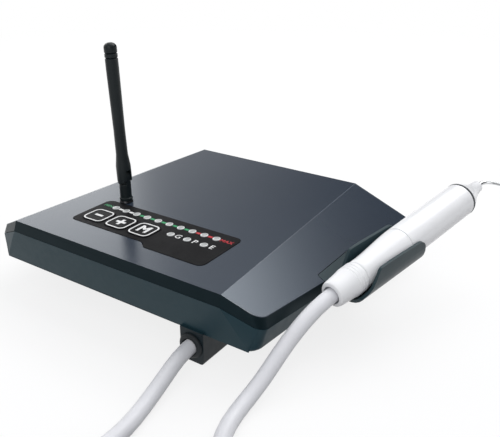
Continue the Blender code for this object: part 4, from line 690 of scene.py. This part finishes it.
# ---- Handpiece ----
# White autoclavable plastic in turned parts: the ringed nut on the hose, the grip sleeve with its waist,
# the barrel over the transducer, a dark seal ring and the nose cone that the steel tip screws into.


def lying(start, yaw, pitch):
    """A frame with its Z along a yawed and pitched axis and its Y up."""
    along = Vector((sin(yaw) * cos(pitch), cos(yaw) * cos(pitch), sin(pitch)))
    right = Vector((cos(yaw), -sin(yaw), 0))
    upward = right.cross(along)
    turn = Matrix((right, upward, -along)).transposed().to_4x4()
    return Matrix.Translation(start) @ turn @ Matrix.Rotation(pi, 4, "Y")


def turned_piece(name, profile, finish, body, at, steps=72, creases=28.0):
    """A piece turned on a lathe from its half section: (radius, height) in millimetres, round its Z."""
    bm = bmesh.new()
    spots = [bm.verts.new((radius * 0.001, 0.0, height * 0.001)) for radius, height in profile]
    for first, second in zip(spots, spots[1:]):
        bm.edges.new((first, second))
    mesh = bpy.data.meshes.new(name)
    bm.to_mesh(mesh)
    bm.free()
    piece = placed(mesh, name, finish, at)
    lathe = piece.modifiers.new("lathe", "SCREW")
    lathe.steps = lathe.render_steps = steps
    lathe.use_merge_vertices = True
    lathe.merge_threshold = 0.000005
    lathe.use_smooth_shade = True
    split = piece.modifiers.new("sharp_edges", "EDGE_SPLIT")
    split.split_angle = radians(creases)
    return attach(piece, body)


hand_frame = lying(hand_tail, hand_yaw, hand_pitch)
hand_white = moulded(
    "handpiece_white", (0.86, 0.86, 0.875), (0.88, 0.88, 0.895), 0.24, 60, 2600, 0.000001, coat=0.2
)
nut_white = moulded(
    "nut_white", (0.84, 0.84, 0.855), (0.86, 0.86, 0.875), 0.36, 60, 2600, 0.000003, gloss=0.45
)
seal_rubber = moulded(
    "seal_rubber", (0.045, 0.050, 0.055), (0.070, 0.076, 0.082), 0.5, 200, 4000, 0.00002, gloss=0.4
)

# Three grip rings, with a shallow groove below each
NUT_TOP, RING_PITCH = 17.9, 1.8
nut_rings = []
for ring in range(3):
    top = NUT_TOP - ring * RING_PITCH
    nut_rings += [
        (7.9, top), (7.88, top - 0.7), (7.7, top - 0.95), (7.52, top - 1.15), (7.52, top - 1.45),
        (7.7, top - 1.65),
    ]
nut = turned_piece(
    "hose_nut",
    [(0, 19.5), (6.9, 19.5), (7.4, 19.3), (7.75, 18.9), (7.88, 18.4), *nut_rings, (7.9, 12.3), (7.75, 11.4),
     (7.4, 9.2), (7.1, 6.0), (6.85, 3.0), (6.75, 2.0), (6.6, 1.2), (6.35, 0.5), (5.9, 0.12), (5.5, 0.0),
     (4.7, 0.0), (4.7, 3.0), (0, 3.0)],
    nut_white, "unit", hand_frame,
)
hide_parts("tail_nut")
liner_grey = moulded(
    "nut_liner_grey", (0.20, 0.21, 0.23), (0.26, 0.27, 0.29), 0.5, 200, 4000, 0.00001, gloss=0.3
)
turned_piece(
    "nut_liner",
    [(3.9, 0.7), (4.1, 0.45), (4.45, 0.45), (4.68, 0.7), (4.68, 2.9), (3.9, 2.9), (3.9, 0.7)],
    liner_grey, "unit", hand_frame,
)

WAIST_RADIUS, WAIST_TO_BARREL = 7.6, 1.9
SWELL_START, SWELL_LENGTH, SWELL_STEPS = 25, 26, 24
swell = []
for step in range(SWELL_STEPS + 1):
    share = 1 - step / SWELL_STEPS
    wider = WAIST_TO_BARREL * (0.55 * share + 0.45 * eased(share, 0, 1))
    swell.append((WAIST_RADIUS + wider, SWELL_START + SWELL_LENGTH * share))
grip = turned_piece(
    "grip",
    [(3.0, 53), (9.1, 53), (9.35, 52.9), (9.5, 52.6), *swell, (7.58, 23), (7.55, 21.2), (7.45, 20.5),
     (7.25, 20.05), (6.9, 19.8), (3.0, 19.8)],
    hand_white, "handpiece", hand_frame,
)
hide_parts("grip_sleeve")

barrel = turned_piece(
    "barrel_cover",
    [(7.7, 109), (9.35, 109), (9.48, 108.85), (9.5, 108.6), (9.5, 96), (9.5, 82), (9.5, 68), (9.5, 53.8),
     (9.45, 53.5), (9.25, 53.3), (3.0, 53.3), (3.0, 56.3), (7.7, 56.3)],
    hand_white, "handpiece", hand_frame,
)
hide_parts("barrel")

seal = turned_piece(
    "seal",
    [(7.7, 110.5), (9.2, 110.5), (9.42, 110.35), (9.56, 110.1), (9.6, 109.9), (9.56, 109.7), (9.42, 109.45),
     (9.2, 109.3), (7.7, 109.3)],
    seal_rubber, "handpiece", hand_frame,
)
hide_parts("seal_ring")

cone = turned_piece(
    "nose",
    [(2.2, 128.8), (2.8, 128.8), (3.1, 128.6), (3.3, 128.2), (3.42, 127.2), (3.62, 126.0), (3.82, 124.8),
     (4.3, 122.9), (4.95, 120.8), (5.9, 118.36), (6.9, 116.2), (7.6, 114.9), (8.17, 113.5), (8.75, 112.2),
     (9.1, 111.5), (9.2, 111.2), (9.15, 110.95), (9.0, 110.8), (7.7, 110.8), (4.6, 118.9), (2.2, 122.8)],
    hand_white, "handpiece", hand_frame,
)
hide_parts("nose_cone")


def brushed(name, dark, light, roughness, grain):
    """Ground or turned metal: fine marks of the tool in it, and a shine that varies a little."""
    return moulded(name, dark, light, roughness, 300, grain, 0.000006, metal=1.0)


polished_steel = brushed("tip_steel", (0.50, 0.51, 0.52), (0.66, 0.67, 0.68), 0.20, 5200)
TIP_BEND = 135.1
TIP_ROOT, TIP_POINT = 1.5, 0.45
tip_route = [
    Vector((0, 0, 127.1)),
    Vector((0, 0, 130.8)),
    Vector((-0.33, 0, TIP_BEND - 1.6)),
    Vector((-2.145, 0, TIP_BEND + 0.7)),
    Vector((-6.27, 0, TIP_BEND + 2.0)),
    Vector((-11.55, 0, TIP_BEND + 1.9)),
    Vector((-16.5, 0, TIP_BEND - 0.6)),
]
tip_spots = [hand_frame @ (spot * 0.001) for spot in even_steps(tip_route, 40)]
tip_rod = round_rod("tip", tip_spots, 0.001)
for index, point in enumerate(tip_rod.splines[0].points):
    point.radius = TIP_ROOT - (TIP_ROOT - TIP_POINT) * index / (len(tip_spots) - 1)
tip = show(tip_rod, "tip", polished_steel, "handpiece")
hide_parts("scaler_tip")

# ---- Hose gland and nose collar ----
# The gland is a black rubber bush that grips the hose inside the nose. A soft collar of the same rubber
# is pushed into the nose's round mouth and closes the gap round the hose.

soft_rubber = moulded(
    "gland_rubber", (0.008, 0.011, 0.013), (0.013, 0.017, 0.020), 0.55, 200, 3000, 0.00004, gloss=0.3
)
dress("hose_gland", soft_rubber)
nose_mouth = lying(on_unit(0.0522, -0.0786, 0.0102), 0.0, 0.0)
turned_piece(
    "nose_collar",
    [(3.95, 1.9), (4.9, 1.9), (4.9, -0.02), (6.45, -0.02), (6.6, -0.35), (6.5, -0.9), (6.1, -1.45),
     (5.5, -1.8), (4.9, -1.9), (4.35, -1.8), (4.05, -1.5), (3.95, -1.1), (3.95, 1.9)],
    soft_rubber, "unit", nose_mouth,
)

# ---- Feet ----
# Four round feet of dull black rubber, pushed into the plinth from below, so that the unit grips the
# bench when a key is pressed.

foot_rubber = moulded(
    "foot_rubber", (0.010, 0.010, 0.011), (0.018, 0.018, 0.019), 0.72, 160, 2400, 0.00006, gloss=0.25
)
CORNERS = ("left_front", "left_back", "right_front", "right_back")
for corner in CORNERS:
    dress("foot_" + corner, foot_rubber)

# ---- Case screws ----
# Four zinc-plated steel screws, driven up from under the plinth into the lid, hold the casing together.
# Their heads are sunk so that only the feet touch the table.

zinc_plate = brushed("screw_zinc", (0.42, 0.43, 0.44), (0.60, 0.61, 0.62), 0.30, 4200)
for corner in CORNERS:
    dress("case_screw_" + corner, zinc_plate)

# ---- Power switch ----
# A rocker switch at the back: a nylon frame pressed into its opening in the wall, and a polished
# rocker. Its two marks are printed in white: the line is on and the ring is off.

switch_nylon = moulded(
    "switch_nylon", (0.010, 0.011, 0.012), (0.015, 0.016, 0.017), 0.46, 120, 3000, 0.00002, gloss=0.4
)
rocker_gloss = moulded(
    "rocker_gloss", (0.008, 0.009, 0.010), (0.012, 0.013, 0.014), 0.26, 120, 3000, 0.000006
)
dress("switch_frame", switch_nylon)
dress("power_rocker", rocker_gloss)


def facing(middle, outward, above):
    """A frame on a panel: X to the right and Y up as it is read, Z out of the panel."""
    out = Vector(outward).normalized()
    right = Vector((0, 0, 1)).cross(out).normalized()
    upward = out.cross(right)
    turn = Matrix((right, upward, out)).transposed().to_4x4()
    return Matrix.Translation(middle + out * above) @ turn


def panel_mark(name, outlines, at, body="unit"):
    """A white mark on a panel, in its own frame."""
    return flat_print(name, outlines, white_ink, at, body, thickness=0.00003)


MARK_RISE = 0.00004
ROCKER_LINE = bar(-0.00035, -0.0017, 0.00035, 0.0017)
ROCKER_RING = [disc(0, 0, 0.0017), disc(0, 0, 0.0011)]
on_side = facing(on_unit(0.04572, 0.07965, 0.0280), (0.094, 0.9956, 0), MARK_RISE)
off_side = facing(on_unit(0.03882, 0.08065, 0.0280), (0.196, 0.9806, 0), MARK_RISE)
panel_mark("rocker_on", [ROCKER_LINE], on_side, "rocker")
panel_mark("rocker_off", ROCKER_RING, off_side, "rocker")

# ---- Power socket ----
# A low-voltage socket for the mains adapter: a round black nylon barrel with a nickel-plated pin in the
# middle of its bore, held by its rim against the back wall.

dress("power_socket", switch_nylon)
pin_nickel = brushed("pin_nickel", (0.55, 0.54, 0.50), (0.72, 0.70, 0.66), 0.22, 5200)
dress("socket_pin", pin_nickel)

# ---- Water inlet ----
# A brass hose tail with three barbs and a round flange, turned in one piece and fixed in the back wall.
# The water line from the bottle is pushed over it.

brass = brushed("turned_brass", (0.52, 0.38, 0.16), (0.68, 0.51, 0.25), 0.28, 3000)
dress("water_inlet", brass, sharp=24.0)

# ---- Water regulator and its knob ----
# A brass needle valve sets how much water reaches the tip. Its fluted black knob has a white line on
# its face, and the wall beside it carries a minus and a plus for less and more water.

dress("regulator_valve", brass)
knob_black = moulded(
    "knob_black", (0.010, 0.011, 0.012), (0.017, 0.018, 0.019), 0.44, 160, 3000, 0.00002, gloss=0.4
)
dress("water_knob", knob_black, sharp=26.0)
knob_low, knob_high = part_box("water_knob")
knob_face = Vector(((knob_low.x + knob_high.x) / 2, knob_high.y, (knob_low.z + knob_high.z) / 2))
pointer = facing(knob_face, (0, 1, 0), MARK_RISE)
panel_mark("knob_pointer", [bar(-0.00045, 0.0018, 0.00045, 0.0058)], pointer, "knob")
PANEL_Y, BESIDE_KNOB = 0.0784, 0.0117
MARK_ARM, MARK_HALF, SLIT = 0.0013, 0.00025, 0.00002
across = bar(-MARK_ARM, -MARK_HALF, MARK_ARM, MARK_HALF)
above = bar(-MARK_HALF, MARK_HALF + SLIT, MARK_HALF, MARK_ARM)
below = bar(-MARK_HALF, -MARK_ARM, MARK_HALF, -MARK_HALF - SLIT)
for name, beside, sign in (
    ("water_less", BESIDE_KNOB, [across]),
    ("water_more", -BESIDE_KNOB, [across, above, below]),
):
    spot = Vector((knob_face.x + beside, unit_middle.y + PANEL_Y, knob_face.z))
    panel_mark(name, sign, facing(spot, (0, 1, 0), MARK_RISE))

# ---- Aerial socket ----
# The aerial turns on a brass socket with a black nickel plate. A steel nut holds the socket to the lid
# from inside, and a steel pin joins the whip's fork to the lower half.

black_nickel = brushed("black_nickel", (0.05, 0.05, 0.055), (0.08, 0.08, 0.085), 0.34, 3000)
dress("aerial_jack", black_nickel)
dress("aerial_nut", zinc_plate)
dress("aerial_pin", polished_steel)

# ---- Circuit boards ----
# Glass-fibre boards with a green solder mask over copper tracks: one under the keys, one with the drive
# circuit on the floor of the casing, and a small one for the foot switch's receiver.

solder_mask = moulded("solder_mask", (0.010, 0.085, 0.035), (0.020, 0.13, 0.055), 0.42, 300, 2500, 0.00003)
mask_nodes, mask_links = solder_mask.node_tree.nodes, solder_mask.node_tree.links
tracks = mask_nodes.new("ShaderNodeTexBrick")
tracks.inputs["Scale"].default_value = 260
tracks.inputs["Mortar Size"].default_value = 0.06
tracks.inputs["Color1"].default_value = (0.014, 0.10, 0.042, 1.0)
tracks.inputs["Color2"].default_value = (0.018, 0.12, 0.050, 1.0)
tracks.inputs["Mortar"].default_value = (0.050, 0.24, 0.075, 1.0)
board_place = mask_nodes.new("ShaderNodeTexCoord")
mask_links.new(board_place.outputs["Object"], tracks.inputs["Vector"])
mask_links.new(tracks.outputs["Color"], mask_nodes["Principled BSDF"].inputs["Base Color"])
for node in ("control_board", "drive_board", "receiver_board"):
    dress(node, solder_mask)

# ---- Drive parts ----
# The output transistors sit on a black anodised aluminium heat sink. Beside it is the transformer, a
# dark ferrite core round its bobbin.

anodised = brushed("heat_sink_anodised", (0.030, 0.031, 0.034), (0.050, 0.051, 0.055), 0.42, 3600)
ferrite = moulded("ferrite", (0.030, 0.030, 0.034), (0.050, 0.050, 0.055), 0.6, 300, 2500, 0.00004)
dress("heat_sink", anodised)
dress("output_transformer", ferrite)

# ---- Water valve and tubes ----
# A brass solenoid valve with its coil cast in black resin opens the water when the foot switch is
# pressed. Soft clear tubes run from the regulator to it and on towards the hose.

coil_resin = moulded("coil_resin", (0.016, 0.016, 0.020), (0.028, 0.028, 0.034), 0.38, 240, 2600, 0.00003)
clear_tube = moulded("water_tube", (0.58, 0.60, 0.62), (0.70, 0.72, 0.74), 0.25, 200, 2500, 0.00001)
dress("solenoid_valve", brass)
dress("valve_coil", coil_resin)
for node in ("feed_tube", "hose_tube"):
    dress(node, clear_tube)

# ---- Transducer ----
# Inside the handpiece a stack of piezo-ceramic rings is clamped between a steel back mass and a titanium
# horn, which passes its shake on to the tip.

titanium = brushed("horn_titanium", (0.38, 0.36, 0.34), (0.52, 0.50, 0.47), 0.32, 3600)
plain_steel = brushed("mass_steel", (0.40, 0.41, 0.42), (0.56, 0.57, 0.58), 0.30, 3000)
piezo = moulded("piezo_ceramic", (0.46, 0.42, 0.35), (0.58, 0.53, 0.45), 0.6, 300, 2500, 0.00003)
dress("horn", titanium)
dress("piezo_stack", piezo)
dress("back_mass", plain_steel)
